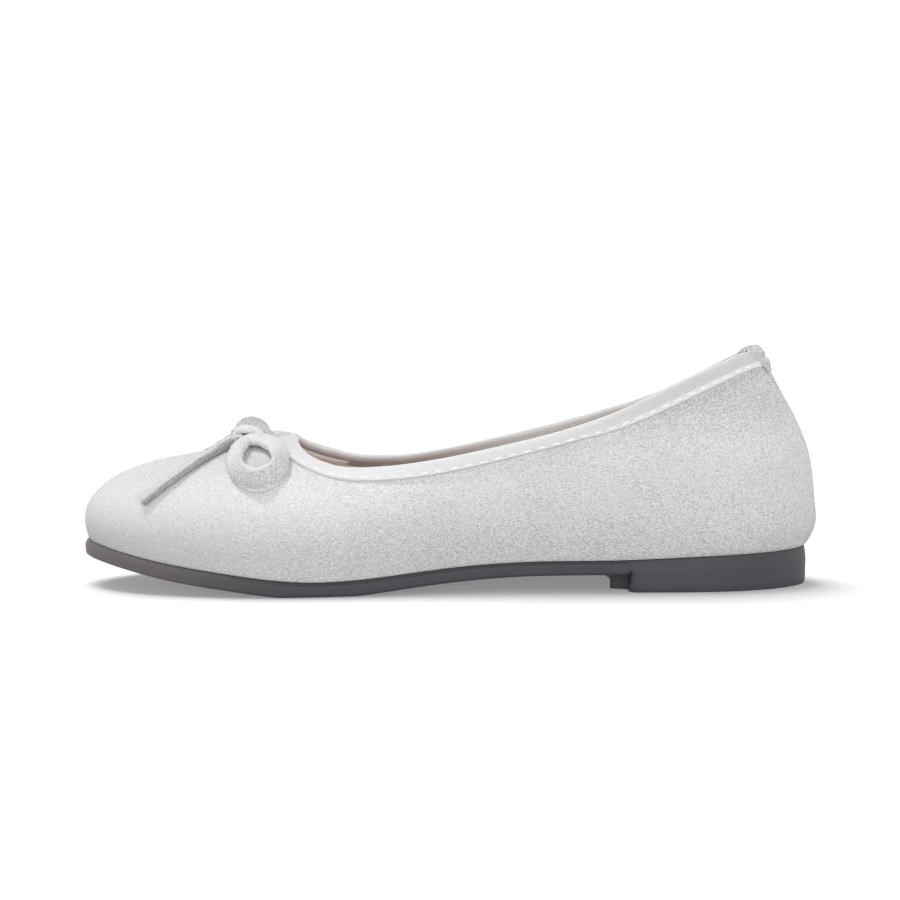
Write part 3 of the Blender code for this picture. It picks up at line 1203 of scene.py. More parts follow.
@dataclass
class Upper:
    """One-piece suede wall from the sole to the topline, with its lining."""

    last: Last
    columns: int = 380
    rows: int = 56
    wall: float = 1.2 * MM
    lining_wall: float = 0.5 * MM
    lining_foot: float = 0.02
    tuck: float = 2.4 * MM
    sink: float = 0.18 * MM
    seam_width: float = 0.5 * MM
    seam_depth: float = 0.22 * MM
    seam_columns: tuple[float, ...] = (0.00025, 0.0005, 0.0008, 0.0012, 0.0018)
    rim_hollow: float = 0.25 * MM
    hollow_below: float = 1.2 * MM
    hollow_reach: float = 1.6 * MM
    uneven_height: float = 0.12 * MM
    uneven_size: float = 21 * MM
    heel_half: float = 16 * MM
    heel_swells: tuple[Swell, ...] = (
        Swell(66.0, 8.0, -0.6),
        Swell(45.0, 10.0, 0.65),
        Swell(21.0, 5.0, 0.9),
    )
    toe_half: float = 14 * MM
    toe_swells: tuple[Swell, ...] = (Swell(-108.0, 11.0, 0.35), Swell(-86.0, 9.0, -0.42))

    def arounds(self) -> np.ndarray:
        """Space the columns, closer together at the back seam.

        Returns:
            Their places around.
        """
        even = np.linspace(0.0, 1.0, self.columns + 1)
        near = np.array(self.seam_columns)
        return np.unique(np.concatenate((even, near, 1.0 - near)))

    def relief(self, around: float, points: np.ndarray) -> np.ndarray:
        """Small swells and hollows of the sewn wall.

        The swells of the heel have their places by height above the floor, and those of the toe
        along the shoe.

        Args:
            around: place around the shoe.
            points: the rib's points.

        Returns:
            How far each point moves along its normal.
        """
        rib = np.linalg.norm(np.diff(points, axis=0), axis=1)
        below = np.append(np.cumsum(rib[::-1])[::-1], 0.0)
        pulled = hump(below - (trim_at(points[-1])[0] + self.hollow_below), self.hollow_reach)
        foot = self.last.outline.at(around)[0]
        back = self.last.outline.at(0.0)[0]
        across = np.linalg.norm(foot[:2] - back[:2])
        seam = hump(across, self.seam_width)
        waves = np.array([noise.noise(Vector(point) / self.uneven_size) for point in points])
        heel = self.swell(points[:, 2], self.heel_swells) * hump(across, self.heel_half)
        toe = self.swell(points[:, 0], self.toe_swells) * hump(points[:, 1], self.toe_half)
        proud = waves * self.uneven_height + heel + toe
        return proud - pulled * self.rim_hollow - seam * self.seam_depth

    @staticmethod
    def swell(places: np.ndarray, rows: Sequence[Swell]) -> np.ndarray:
        """Sum of some swells at places."""
        return sum(row.height * MM * hump(places / MM - row.at, row.reach) for row in rows)

    def ups(self, around: float, start: float, rows: int) -> np.ndarray:
        """Shares of a rib, up to where the ribbon's roll sits on it.

        A rib's speed at the topline is three times its last handle.

        Args:
            around: place around the shoe.
            start: the first share.
            rows: steps from there to the last.

        Returns:
            The shares.
        """
        high, rim = self.last.ribs.at(around)[0].reshape(4, 3)[2:]
        cut = max(-trim_at(rim)[1], 0.0) / (3 * np.linalg.norm(rim - high))
        return np.linspace(start, 1.0 - cut, rows + 1)

    def sheet(self) -> bmesh.types.BMesh:
        """Make the suede's outer face, tucked under at the feather line.

        Returns:
            The sheet.
        """
        columns = []
        for around in self.arounds():
            ups = self.ups(around, 0.0, self.rows)
            points, normals = self.last.rib(around, ups)
            points = points + normals * self.relief(around, points)[:, None]
            inward = -self.last.outward(around)
            under = points[0] + inward * self.tuck - UP * self.sink
            turn = points[0] + inward * self.sink - UP * self.sink
            columns.append(np.vstack((under, turn, points)))
        return face_up(bent_grid(columns))

    def lining(self) -> bmesh.types.BMesh:
        """Make the lining cloth just inside the suede.

        Returns:
            The sheet.
        """
        columns = []
        for around in np.linspace(0.0, 1.0, self.columns // 2 + 1):
            ups = self.ups(around, self.lining_foot, self.rows // 2)
            points, normals = self.last.rib(around, ups)
            columns.append(points - normals * (self.wall + self.lining_wall / 4))
        return face_up(bent_grid(columns))

    def build(self, suede: bpy.types.Material, cloth: bpy.types.Material) -> BVHTree:
        """Make the suede and the lining.

        Args:
            suede: finish of the outside.
            cloth: finish of the inside.

        Returns:
            The suede's outer face, for what sits on it.
        """
        sheet = self.sheet()
        vamp = BVHTree.FromBMesh(sheet)
        thicken(add_piece("suede_upper", sheet, suede, ("upper",)), self.wall, -1)
        thicken(add_piece("lining", self.lining(), cloth), self.lining_wall, -1)
        return vamp


@dataclass
class Binding:
    """Ribbed ribbon rolled over the topline, sewn down near its lower edge."""

    last: Last
    columns: int = 320
    depth: float = 5.0 * MM
    inner_depth: float = 3.2 * MM
    wall: float = 1.8 * MM
    lift: float = 0.15 * MM
    under_lift: float = 0.3
    under_steps: int = 8
    thickness: float = 0.55 * MM
    rib_pitch: float = 0.66 * MM
    rib_height: float = 0.07 * MM
    sample: float = 0.09 * MM
    ribs_end: float = 3.0 * MM
    ribs_fade: float = 0.4 * MM
    hem_round: float = 0.45 * MM
    hem_shade: float = 0.5 * MM
    # Shares of the roll over which the painted inner shade sets in.
    inner_shade_span: Span = (0.46, 0.70)
    seam_below: float = 3.8 * MM
    seam_dip: float = 0.3 * MM
    seam_half: float = 0.35 * MM
    stitch_pitch: float = 4.8 * MM
    stitch_half: Vector = field(default_factory=lambda: Vector((1.5, 0.36, 0.40)) * MM)
    stitch_sink: float = 0.4
    stitch_step: float = 0.001
    pressed_half: float = 9.0 * MM
    pressed_fade: Span = (-3 * MM, 2 * MM)
    pressed_share: float = 0.4

    @property
    def face(self) -> float:
        """Distance of the ribbon's outer face off the middle of the upper's wall."""
        return self.wall / 2 + self.lift + self.thickness

    def section(self) -> tuple[np.ndarray, np.ndarray]:
        """Path round the ribbon's section.

        It runs from the outer lower edge over the topline and back underneath.

        Returns:
            Distances off the middle of the upper's wall, and distances below the topline.
        """
        face = self.face
        under = self.wall / 2 + self.lift * self.under_lift
        flank = np.arange(self.depth, 0.0, -self.sample)
        turn = np.arange(0.0, pi, self.sample / face)
        inside = np.arange(0.0, self.inner_depth, self.sample)
        ribbed = 1 - smooth_step(flank, self.ribs_end, self.ribs_end + self.ribs_fade)
        dip = self.seam_dip * hump(flank - self.seam_below, self.seam_half)
        hem = smooth_step(flank, self.depth - self.hem_round, self.depth)
        outer = face + self.ribs(flank) * ribbed - dip - hem * (face - under)
        roll = face + self.ribs(-face * turn)
        inner = face + self.ribs(-face * pi - inside)
        back = np.linspace(self.inner_depth, 0.0, self.under_steps)
        over = np.linspace(0.0, pi, self.under_steps - 1)[1:-1]
        front = np.linspace(0.0, self.depth, self.under_steps)
        flat = np.full(self.under_steps, under)
        outs = (outer, roll * np.cos(turn), -inner, -flat, -under * np.cos(over), flat)
        belows = (flank, -roll * np.sin(turn), inside, back, -under * np.sin(over), front)
        return np.concatenate((*outs, outer[:1])), np.concatenate((*belows, flank[:1]))

    def finish(self) -> Ribbon:
        """Fit the ribbon's finish to the ribs of the section.

        Returns:
            The finish.
        """
        outer, roll = self.depth, self.face * pi
        inner_shade_start, inner_shade_end = (outer + roll * share for share in self.inner_shade_span)
        whole = (len(self.section()[0]) - 1) * self.sample
        return Ribbon(
            cycles=whole / self.rib_pitch,
            hem_shadow_end=self.hem_shade / whole,
            ribs_start=(outer - self.ribs_end) / whole,
            roll_top=(outer + roll / 2) / whole,
            inner_shade_start=inner_shade_start / whole,
            inner_shade_end=inner_shade_end / whole,
        )

    def ribs(self, below: np.ndarray) -> np.ndarray:
        """Height of the ribs at distances down the ribbon."""
        return self.rib_height * np.cos(2 * pi * below / self.rib_pitch)

    def seat(
        self, around: float, outs: np.ndarray, belows: np.ndarray, from_back: float
    ) -> np.ndarray:
        """Lay the section on the rim, its hem held to the wall, pressed flat under the heel tab.

        Args:
            around: place around the shoe.
            outs: distances off the middle of the wall.
            belows: distances below the topline.
            from_back: length of topline from the heel back to here.

        Returns:
            The points.
        """
        fade_start, fade_end = (self.pressed_half + step for step in self.pressed_fade)
        free = float(smooth_step(np.array(from_back), fade_start, fade_end))
        press = 1 - (1 - self.pressed_share) * (1 - free)
        trim, slide, lift = trim_at(self.last.rim_at(around))
        above = np.minimum(belows, 0.0)
        reach = np.hypot(outs, above)
        scale = (self.wall / 2 + (reach - self.wall / 2) * press) / reach
        flank = np.where(outs > 0, belows * (trim / self.depth), belows)
        depth = np.where(belows < 0, belows * scale, flank) - slide
        held = np.where(outs > 0, np.clip(belows / self.depth, 0.0, 1.0), 0.0)
        points = self.last.below_rim(around, depth, outs * scale - self.wall / 2)
        return points + np.outer(lift * (1 - held), UP)

    def evenly(self, count: int, offset: float) -> tuple[np.ndarray, np.ndarray]:
        """Read places at even lengths of topline.

        Args:
            count: how many places there are, without the full turn.
            offset: share of a step before the first.

        Returns:
            The places around, with the full turn last, and their distances from the heel back.
        """
        arounds, lengths = self.last.topline()
        whole = lengths[-1]
        along = np.append((np.arange(count) + offset) / count * whole, whole)
        return np.interp(along, lengths, arounds), np.minimum(along, whole - along)

    def ribbon(self) -> bmesh.types.BMesh:
        """Make the ribbon all the way round the topline.

        Returns:
            The closed mesh.
        """
        outs, belows = self.section()
        places = zip(*self.evenly(self.columns, 0.0))
        columns = [self.seat(around, outs, belows, from_back) for around, from_back in places]
        return close_up(bent_grid(columns))

    def stitches(self) -> bmesh.types.BMesh:
        """Make one row of stitches along the ribbon.

        Returns:
            All of them in one mesh.
        """
        whole = self.last.topline()[1][-1]
        arounds, from_backs = self.evenly(round(whole / self.stitch_pitch), 0.5)
        bm = bmesh.new()
        out = self.face - self.seam_dip * self.stitch_sink
        outs = np.array((out, out + MM))
        belows = np.full(2, self.seam_below)
        size = Matrix.Diagonal((*self.stitch_half, 1.0))
        for around, from_back in zip(arounds[:-1], from_backs[:-1]):
            if from_back < self.pressed_half:
                continue
            start = self.seat(around - self.stitch_step, outs, belows, from_back)
            end = self.seat(around + self.stitch_step, outs, belows, from_back)
            forward = Vector(end[0] - start[0]).normalized()
            outward = Vector(start[1] - start[0]).normalized()
            turn = Matrix((forward, outward.cross(forward), outward)).transposed().to_4x4()
            place = Matrix.Translation(Vector(start[0] + end[0]) / 2) @ turn @ size
            bmesh.ops.create_uvsphere(bm, u_segments=10, v_segments=8, radius=1.0, matrix=place)
        return bm

    def build(self, thread: bpy.types.Material) -> None:
        """Make the ribbon and its stitches.

        Args:
            thread: finish of the stitches.
        """
        ribbon = self.finish().material()
        add_piece("ribbon_binding", self.ribbon(), ribbon, ("topline_binding",))
        add_piece("binding_stitches", self.stitches(), thread)


@dataclass
class HeelTab:
    """Small suede strip over the binding at the back seam, puffed on top and pinched below."""

    last: Last
    columns: int = 40
    half_width: float = 7.4 * MM
    wall: float = 1.8 * MM
    top_height: float = 3.1 * MM
    inner_depth: float = 6.0 * MM
    inner_taper: float = 0.25
    under_gap: float = 0.1 * MM
    under_top: float = 0.6
    least_wall: float = 0.4 * MM
    crown_power: int = 5
    steps: int = 40
    flank_steps: int = 6
    ruffle: Span = (0.14 * MM, 2.4 * MM)
    sharp: float = 75.0
    flank: tuple[TabFold, ...] = (
        TabFold(0.0, 1.15, 1.00),
        TabFold(1.1, 1.00, 0.94),
        TabFold(2.1, 0.60, 0.80),
        TabFold(3.3, 1.10, 0.74),
        TabFold(4.6, 0.95, 0.68),
        TabFold(5.8, 0.50, 0.58),
        TabFold(7.6, -0.15, 0.46),
    )

    def outline(self) -> tuple[np.ndarray, np.ndarray, np.ndarray]:
        """Outer face of the strip from its lower end over the rim to its inner end.

        Returns:
            Distances off the middle of the wall, distances below the topline and half widths.
        """
        folds = smooth_path([np.array(fold) for fold in self.flank], self.flank_steps)
        belows, outs, widths = (folds * (MM, MM, 1)).T
        turn = np.linspace(0.0, pi, self.steps)[1:-1]
        side = self.wall / 2 + outs[0]
        inside = np.linspace(0.0, self.inner_depth, self.steps // 2)
        all_outs = (self.wall / 2 + outs[::-1], side * np.cos(turn), np.full(len(inside), -side))
        all_belows = (belows[::-1], -self.top_height * np.sin(turn), inside)
        taper = 1 - self.inner_taper * inside / self.inner_depth
        all_widths = np.concatenate((widths[::-1], np.ones(len(turn)), taper))
        return np.concatenate(all_outs), np.concatenate(all_belows), all_widths * self.half_width

    def strip(self) -> bmesh.types.BMesh:
        """Make the folded strip, closed underneath.

        Returns:
            The closed mesh.
        """
        outs, belows, widths = self.outline()
        rim_speed = np.linalg.norm(self.last.ribs.at(0.0)[1][self.last.RIM])
        under = np.minimum(np.abs(outs) - self.least_wall, self.wall / 2 + self.under_gap)
        under_outs = np.sign(outs) * under
        under_belows = np.maximum(belows, -self.under_top * self.top_height)
        columns = []
        for share in np.linspace(-1.0, 1.0, self.columns + 1):
            crown = (1 - abs(share) ** self.crown_power) ** 0.5
            place = share * widths / rim_speed
            over_outs = under_outs + (outs - under_outs) * crown
            over_belows = under_belows + (belows - under_belows) * crown
            top = self.points(place, over_belows, over_outs)
            low = self.points(place, under_belows, under_outs)
            columns.append(np.vstack((top, low[::-1], top[:1])))
        return close_up(bent_grid(columns))

    def points(self, arounds: np.ndarray, belows: np.ndarray, outs: np.ndarray) -> np.ndarray:
        """Points at places around, distances below the topline and off the middle of the wall."""
        rows = zip(arounds, belows[:, None], outs[:, None] - self.wall / 2)
        return np.vstack([self.last.below_rim(around, below, out) for around, below, out in rows])

    def build(self, suede: bpy.types.Material) -> None:
        """Make the strip.

        Args:
            suede: its finish.
        """
        strip = self.strip()
        ruffle(strip, *self.ruffle)
        add_piece("back_tab", strip, suede, ("heel_tab",), self.sharp)


@dataclass
class Sole:
    """Moulded rubber sole with toe spring, arch, low heel and a shallow cross tread."""

    last: Last
    stations: int = 420
    flare_toe: float = 1.2 * MM
    flare_heel: float = 0.9 * MM
    edge_round: float = 0.5 * MM
    edge_tuck: float = 1.6 * MM
    breast_x: float = 58.5 * MM
    breast_clear: float = 7.2 * MM
    breast_parts: int = 60
    corner_radius: float = 2.5 * MM
    corner_steps: int = 9
    corner_bunching: float = 1.6
    across: int = 48
    edge_steps: int = 4
    sharp: float = 40.0
    tread_pitch: float = 4.4 * MM
    tread_depth: float = 0.45 * MM
    tread_bow: float = 0.35
    tread_groove: Span = (0.55, 0.85)
    tread_edge: Span = (0.78, 0.84)
    tread_zones: tuple[TreadZone, ...] = (TreadZone(-52.0, 42.0, 46.0), TreadZone(88.0, 22.0, 24.0))

    def arounds(self) -> tuple[list[float], float, float]:
        """Places of the cross-sections.

        Returns:
            The places, that of the heel's breast, and that of the plate just ahead of it.
        """
        breast = self.last.around_at(self.breast_x)
        corner = self.last.around_at(self.breast_x + self.corner_radius) - breast
        ahead = self.last.around_at(self.breast_x - self.breast_clear)
        front = breast - corner / self.breast_parts
        even = np.linspace(0.0, 0.5, self.stations + 1)
        spread = [around for around in even if not breast + corner < around < ahead]
        bunched = np.linspace(1.0, 0.0, self.corner_steps) ** self.corner_bunching
        near = [breast + corner * share for share in bunched]
        return sorted(spread + near + [front]), breast, front

    def tread(self, x: float, shares: np.ndarray) -> np.ndarray:
        """Find the depth of the tread's grooves across one section.

        Args:
            x: place of the section along the shoe.
            shares: places across it, from -1 to 1.

        Returns:
            The depths.
        """
        zones = [
            smooth_step(np.array(abs(x - zone.middle * MM)), zone.end * MM, zone.full * MM)
            for zone in self.tread_zones
        ]
        wave = np.cos(2 * pi * (x / self.tread_pitch + self.tread_bow * shares**2))
        groove = smooth_step(wave, *self.tread_groove)
        inner = 1 - smooth_step(np.abs(shares), *self.tread_edge)
        return self.tread_depth * max(zones) * groove * inner

    def section(self, around: float, breast: float, front: float) -> np.ndarray:
        """Closed loop of points round one cross-section.

        Args:
            around: place of the section on the medial side.
            breast: place of the heel's breast.
            front: place of the plate just ahead of it.

        Returns:
            The points.
        """
        top = self.last.outline.at(around)[0]
        heel_x, toe_x = self.last.outline.at(0.0)[0][0], self.last.outline.at(0.5)[0][0]
        toe_share = (heel_x - top[0]) / (heel_x - toe_x)
        flare = self.flare_heel + (self.flare_toe - self.flare_heel) * toe_share
        plate_low = max(self.last.underside.at(around)[0][0], 0.0)
        in_heel = around <= breast
        low = 0.0 if in_heel else plate_low
        cut = max(self.corner_radius - (top[0] - self.breast_x), 0.0) if in_heel else 0.0
        inset = self.corner_radius - max(self.corner_radius**2 - cut**2, 0.0) ** 0.5
        belly = max(plate_low, low + self.edge_round + self.edge_tuck)
        profile = smooth_path(np.array((
            (-self.edge_tuck, top[2]),
            (0.0, top[2]),
            (flare / 2, top[2] - self.edge_round),
            (flare, belly + self.edge_tuck),
            (flare - inset, belly),
            (flare - self.edge_round / 2 - inset, low + self.edge_round),
            (flare - self.edge_tuck - inset, low),
        )), self.edge_steps)
        profile[:, 1] = np.maximum(profile[:, 1], low)
        medial = np.array([self.last.edge(around, out, z) for out, z in profile])
        lateral = np.array([self.last.edge(-around, out, z) for out, z in profile])
        shares = np.linspace(-1.0, 1.0, self.across + 2)[1:-1]
        under = medial[-1] + (lateral[-1] - medial[-1]) * ((shares + 1) / 2)[:, None]
        if breast <= around <= front:
            breast_shares, juts = zip(*BREAST)
            under[:, 0] -= np.interp(shares, breast_shares, juts) * MM
        under[:, 2] += self.tread(top[0], shares)
        return np.vstack((medial, under, lateral[::-1], medial[:1]))

    def build(self, rubber: bpy.types.Material) -> None:
        """Make the sole.

        Args:
            rubber: its finish.
        """
        arounds, breast, front = self.arounds()
        bm = close_up(bent_grid([self.section(around, breast, front) for around in arounds]))
        add_piece("rubber_sole", bm, rubber, ("outsole",), self.sharp)


@dataclass
class Footbed:
    """Padded footbed inside the upper, cupped at its edge."""

    last: Last
    stations: int = 160
    across: int = 24
    inset: float = 2.0 * MM
    thickness: float = 3.2 * MM
    cup: float = 1.1 * MM
    cup_power: int = 5
    edge_round: float = 0.5 * MM

    def section(self, around: float) -> np.ndarray:
        """Read the closed loop of points round one cross-section.

        Args:
            around: place of the section on the medial side.

        Returns:
            The points.
        """
        low = self.last.outline.at(around)[0][2] + self.last.GAP
        medial = self.last.edge(around, -self.inset, low)
        lateral = self.last.edge(-around, -self.inset, low)
        shares = np.linspace(0.0, 1.0, self.across + 1)
        line = medial + (lateral - medial) * shares[:, None]
        rise = self.thickness + self.cup * np.abs(2 * shares - 1) ** self.cup_power
        rise[[0, -1]] -= self.edge_round
        return np.vstack((line[::-1], line + UP * rise[:, None], line[-1:]))

    def build(self, cloth: bpy.types.Material) -> None:
        """Make the footbed.

        Args:
            cloth: its finish.
        """
        arounds = np.linspace(0.0, 0.5, self.stations + 1)
        bm = close_up(bent_grid([self.section(around) for around in arounds]))
        add_piece("footbed_cover", bm, cloth, ("insole",))


@dataclass
class Strap:
    """A run of the bow's strap: a soft bar with round corners, swept along a path."""

    path: np.ndarray
    normals: np.ndarray
    width: float
    thickness: float
    corner: float = 2.7
    sides: int = 32

    def squared(self, turn: np.ndarray) -> np.ndarray:
        """Sine or cosine of a turn, squared off to a bar with round corners."""
        return np.sign(turn) * np.abs(turn) ** (2 / self.corner)

    def sweep(
        self,
        gather: Callable[[float], float] = lambda share: 1.0,
        swell: Callable[[float], float] = lambda share: 1.0,
        roll: Callable[[float], float] = lambda share: 0.0,
    ) -> bmesh.types.BMesh:
        """Sweep the section along the path.

        Args:
            gather: size of the section at a share of the length, as a share of the full size.
            swell: its width there, as a share of the gathered width.
            roll: turn of the section about the path in degrees, which lifts its left side.

        Returns:
            The closed mesh.
        """
        last_step = len(self.path) - 1
        angles = np.linspace(0.0, 2 * pi, self.sides + 1)
        wide = self.squared(np.cos(angles)) * self.width / 2
        thick = self.squared(np.sin(angles)) * self.thickness / 2
        columns = []
        for i, (point, normal) in enumerate(zip(self.path, self.normals)):
            share = i / last_step
            forward = self.path[min(i + 1, last_step)] - self.path[max(i - 1, 0)]
            left = np.cross(normal, forward)
            left /= np.linalg.norm(left)
            upright = np.cross(forward, left)
            upright /= np.linalg.norm(upright)
            lean = radians(roll(share))
            across = left * cos(lean) + upright * sin(lean)
            off = upright * cos(lean) - left * sin(lean)
            size = gather(share)
            wide_here = wide * size * swell(share)
            columns.append(point + wide_here[:, None] * across + (thick * size)[:, None] * off)
        return close_up(bent_grid(columns))

    def length(self) -> float:
        """Length of the path."""
        return float(np.linalg.norm(np.diff(self.path, axis=0), axis=1).sum())


@dataclass
class Bow:
    """Suede strap bow on the vamp: a wrapped knot, two loops and two tails."""

    vamp: BVHTree
    wrap_suede: bpy.types.Material
    fold_suede: bpy.types.Material
    loop_suede: bpy.types.Material
    tail_suede: bpy.types.Material
    loop_width: float = 5.4 * MM
    loop_thickness: float = 3.7 * MM
    tail_width: float = 3.4 * MM
    tail_thickness: float = 2.8 * MM
    lip_width: float = 2.2 * MM
    lip_thickness: float = 1.3 * MM
    lip_out: float = 2.4 * MM
    lip_down: float = 2.7 * MM
    lip_ends: float = 0.05
    loop_ends: float = 0.7
    loop_gather: float = 0.12
    loop_lean: float = 14.0
    loop_ruffle: Span = (0.22 * MM, 2.6 * MM)
    bend_at: float = 0.48
    bend_reach: float = 0.17
    bend_swell: float = 0.35
    bend_lean: float = 46.0
    tail_start: float = 0.75
    tail_gather: float = 0.15
    tail_flare: float = 0.25
    flare_from: float = 0.8
    tail_lean: float = 18.0
    tail_ruffle: Span = (0.2 * MM, 2.2 * MM)
    turn_ends: float = 0.8
    turn_ruffle: Span = (0.25 * MM, 2.6 * MM)
    sharp: float = 75.0
    cut_sharp: float = 60.0
    clear: float = 0.1 * MM
    drop_from: float = 1.0
    steps: int = 12

    def seat(self, rest: Rest, root: Rest, reach: float) -> tuple[np.ndarray, np.ndarray]:
        """Place a point of the strap on the vamp.

        Args:
            rest: the point's place in plan and its lift.
            root: the strap's first point, at the knot.
            reach: share of the way across from the root, below zero on the medial side.

        Returns:
            The point and the vamp's normal there.
        """
        across = copysign(root.across, reach) + reach * (rest.across - root.across)
        hit, normal = self.drop(rest.along * MM, across * MM)
        return np.array(hit + normal * rest.lift * MM), np.array(normal)

    def drop(self, x: float, y: float) -> tuple[Vector, Vector]:
        """Find the point of the vamp straight below a place in plan.

        Args:
            x: place along the shoe.
            y: place across it.

        Returns:
            The point and the vamp's normal there.
        """
        down = Vector((0.0, 0.0, -1.0))
        hit, normal, _, _ = self.vamp.ray_cast(Vector((x, y, self.drop_from)), down)
        return hit, normal

    def run(self, route: Sequence[Rest], reach: float, width: float, thickness: float) -> Strap:
        """Lay a run of strap on the vamp.

        Args:
            route: points of the strap from the knot on.
            reach: share of the route across, below zero on the medial side.
            width: width of the strap.
            thickness: its thickness.

        Returns:
            The run.
        """
        seats = [self.seat(rest, route[0], reach) for rest in route]
        path = smooth_path([point for point, _ in seats], self.steps)
        normals = smooth_path([normal for _, normal in seats], self.steps)
        return Strap(path, normals, width, thickness)

    def settle(self, bm: bmesh.types.BMesh) -> bmesh.types.BMesh:
        """Press what would sink into the vamp flat on it.

        Args:
            bm: a mesh on the vamp.

        Returns:
            The same mesh.
        """
        for vert in bm.verts:
            hit, _ = self.drop(vert.co.x, vert.co.y)
            vert.co.z = max(vert.co.z, hit.z + self.clear)
        return bm

    def sagged(self, strap: Strap, reach: float) -> Strap:
        """Let a loop hang a little off its route.

        Args:
            strap: the loop's run of strap on its route.
            reach: share of the loop's route across, below zero on the medial side.

        Returns:
            The run that shows.
        """
        path = strap.path.copy()
        for i, normal in enumerate(strap.normals):
            share = i / (len(path) - 1)
            for sag in SAGS:
                weight = hump(share - sag.share, sag.reach) * MM
                outward = copysign(sag.outward, sag.outward * reach)
                shift = np.array((sag.along, outward, 0.0)) * weight
                path[i] += shift + normal * (sag.lift * weight - shift @ normal)
        return Strap(path, strap.normals, strap.width, strap.thickness)

    def bend(self, share: float) -> float:
        """How near a share of a loop's length is to its bend, from 0 to 1."""
        return float(hump(share - self.bend_at, self.bend_reach))

    def lip(self, strap: Strap, reach: float) -> bmesh.types.BMesh:
        """Make the strap's lower edge, which peeps out under the bend of a loop.

        Args:
            strap: the loop's run of strap.
            reach: share of the loop's route across, below zero on the medial side.

        Returns:
            The closed mesh.
        """
        forward = np.gradient(strap.path, axis=0)
        left = np.cross(strap.normals, forward)
        left *= copysign(self.lip_out, -reach) / np.linalg.norm(left, axis=1)[:, None]
        path = strap.path + left - strap.normals * self.lip_down
        edge = Strap(path, strap.normals, self.lip_width, self.lip_thickness)
        ends = self.lip_ends
        return edge.sweep(gather=lambda share: ends + (1 - ends) * self.bend(share) ** 2)

    def loop(self, side: Side, knot: Sequence[bpy.types.Object]) -> None:
        """Make one loop, which leaves the knot, stands up at its bend and comes back.

        Args:
            side: side of the shoe.
            knot: the knot's pieces; not used.
        """
        strap = self.run(LOOP_ROUTE, side.loop_reach, self.loop_width, self.loop_thickness)
        inward = copysign(1.0, side.loop_reach)
        ends, rise = self.loop_ends, (1 - self.loop_ends) / self.loop_gather
        sagged = self.sagged(strap, side.loop_reach)
        band = sagged.sweep(
            gather=lambda share: min(1.0, ends + rise * min(share, 1 - share)),
            swell=lambda share: 1.0 + self.bend_swell * self.bend(share),
            roll=lambda share: inward * (self.loop_lean + self.bend_lean * self.bend(share)),
        )
        bm = joined((band, self.lip(sagged, side.loop_reach)))
        ruffle(bm, *self.loop_ruffle)
        self.settle(bm)
        replaced = (f"bow_loop_{side.label}",)
        piece = add_piece(
            f"loop_{side.label}", bm, self.loop_suede, replaced, self.sharp)
        strap.length()

    def tail(self, side: Side) -> None:
        """Make one tail, which ends in a plain cut.

        Args:
            side: side of the shoe.
        """
        strap = self.run(TAIL_ROUTE, side.tail_reach, self.tail_width, self.tail_thickness)
        start, rise = self.tail_start, (1 - self.tail_start) / self.tail_gather
        flare = self.tail_flare / (1 - self.flare_from)
        bm = strap.sweep(
            gather=lambda share: min(1.0, start + rise * share),
            swell=lambda share: 1.0 + flare * max(share - self.flare_from, 0.0),
            roll=lambda share: copysign(self.tail_lean, side.tail_reach),
        )
        ruffle(bm, *self.tail_ruffle)
        self.settle(bm)
        replaced = (f"bow_tail_{side.label}",)
        piece = add_piece(
            f"tail_{side.label}", bm, self.tail_suede, replaced, self.cut_sharp)
        strap.length()

    def turns(self, turns: Sequence[KnotTurn]) -> bmesh.types.BMesh:
        """Make some turns of the knot, each a little thinner at its ends.

        Args:
            turns: the turns.

        Returns:
            All of them in one mesh.
        """
        ends = self.turn_ends
        parts = []
        for turn in turns:
            for side in turn.sides:
                points = [np.array((x, -y * side, z)) * MM for x, y, z in turn.points]
                path = smooth_path(points, self.steps)
                facing = np.array((turn.facing[0], -turn.facing[1] * side, turn.facing[2]))
                normals = np.tile(facing, (len(path), 1))
                strap = Strap(path, normals, turn.width * MM, turn.thickness * MM)
                parts.append(strap.sweep(
                    gather=lambda share: ends + (1 - ends) * sin(pi * share) ** 0.5))
        bm = joined(parts)
        ruffle(bm, *self.turn_ruffle)
        return self.settle(bm)

    def build(self) -> None:
        """Make the bow."""
        knot = [
            add_piece(name, self.turns(turns), suede, replaced, self.sharp)
            for name, turns, suede, replaced in (
                ("knot", WRAP, self.wrap_suede, ("bow_knot",)),
                ("knot_folds", FOLDS, self.fold_suede, ()),
                ("tail_roots", TAIL_ROOTS, self.tail_suede, ()),
            )
        ]
        for side in Side:
            self.loop(side, knot)
            self.tail(side)


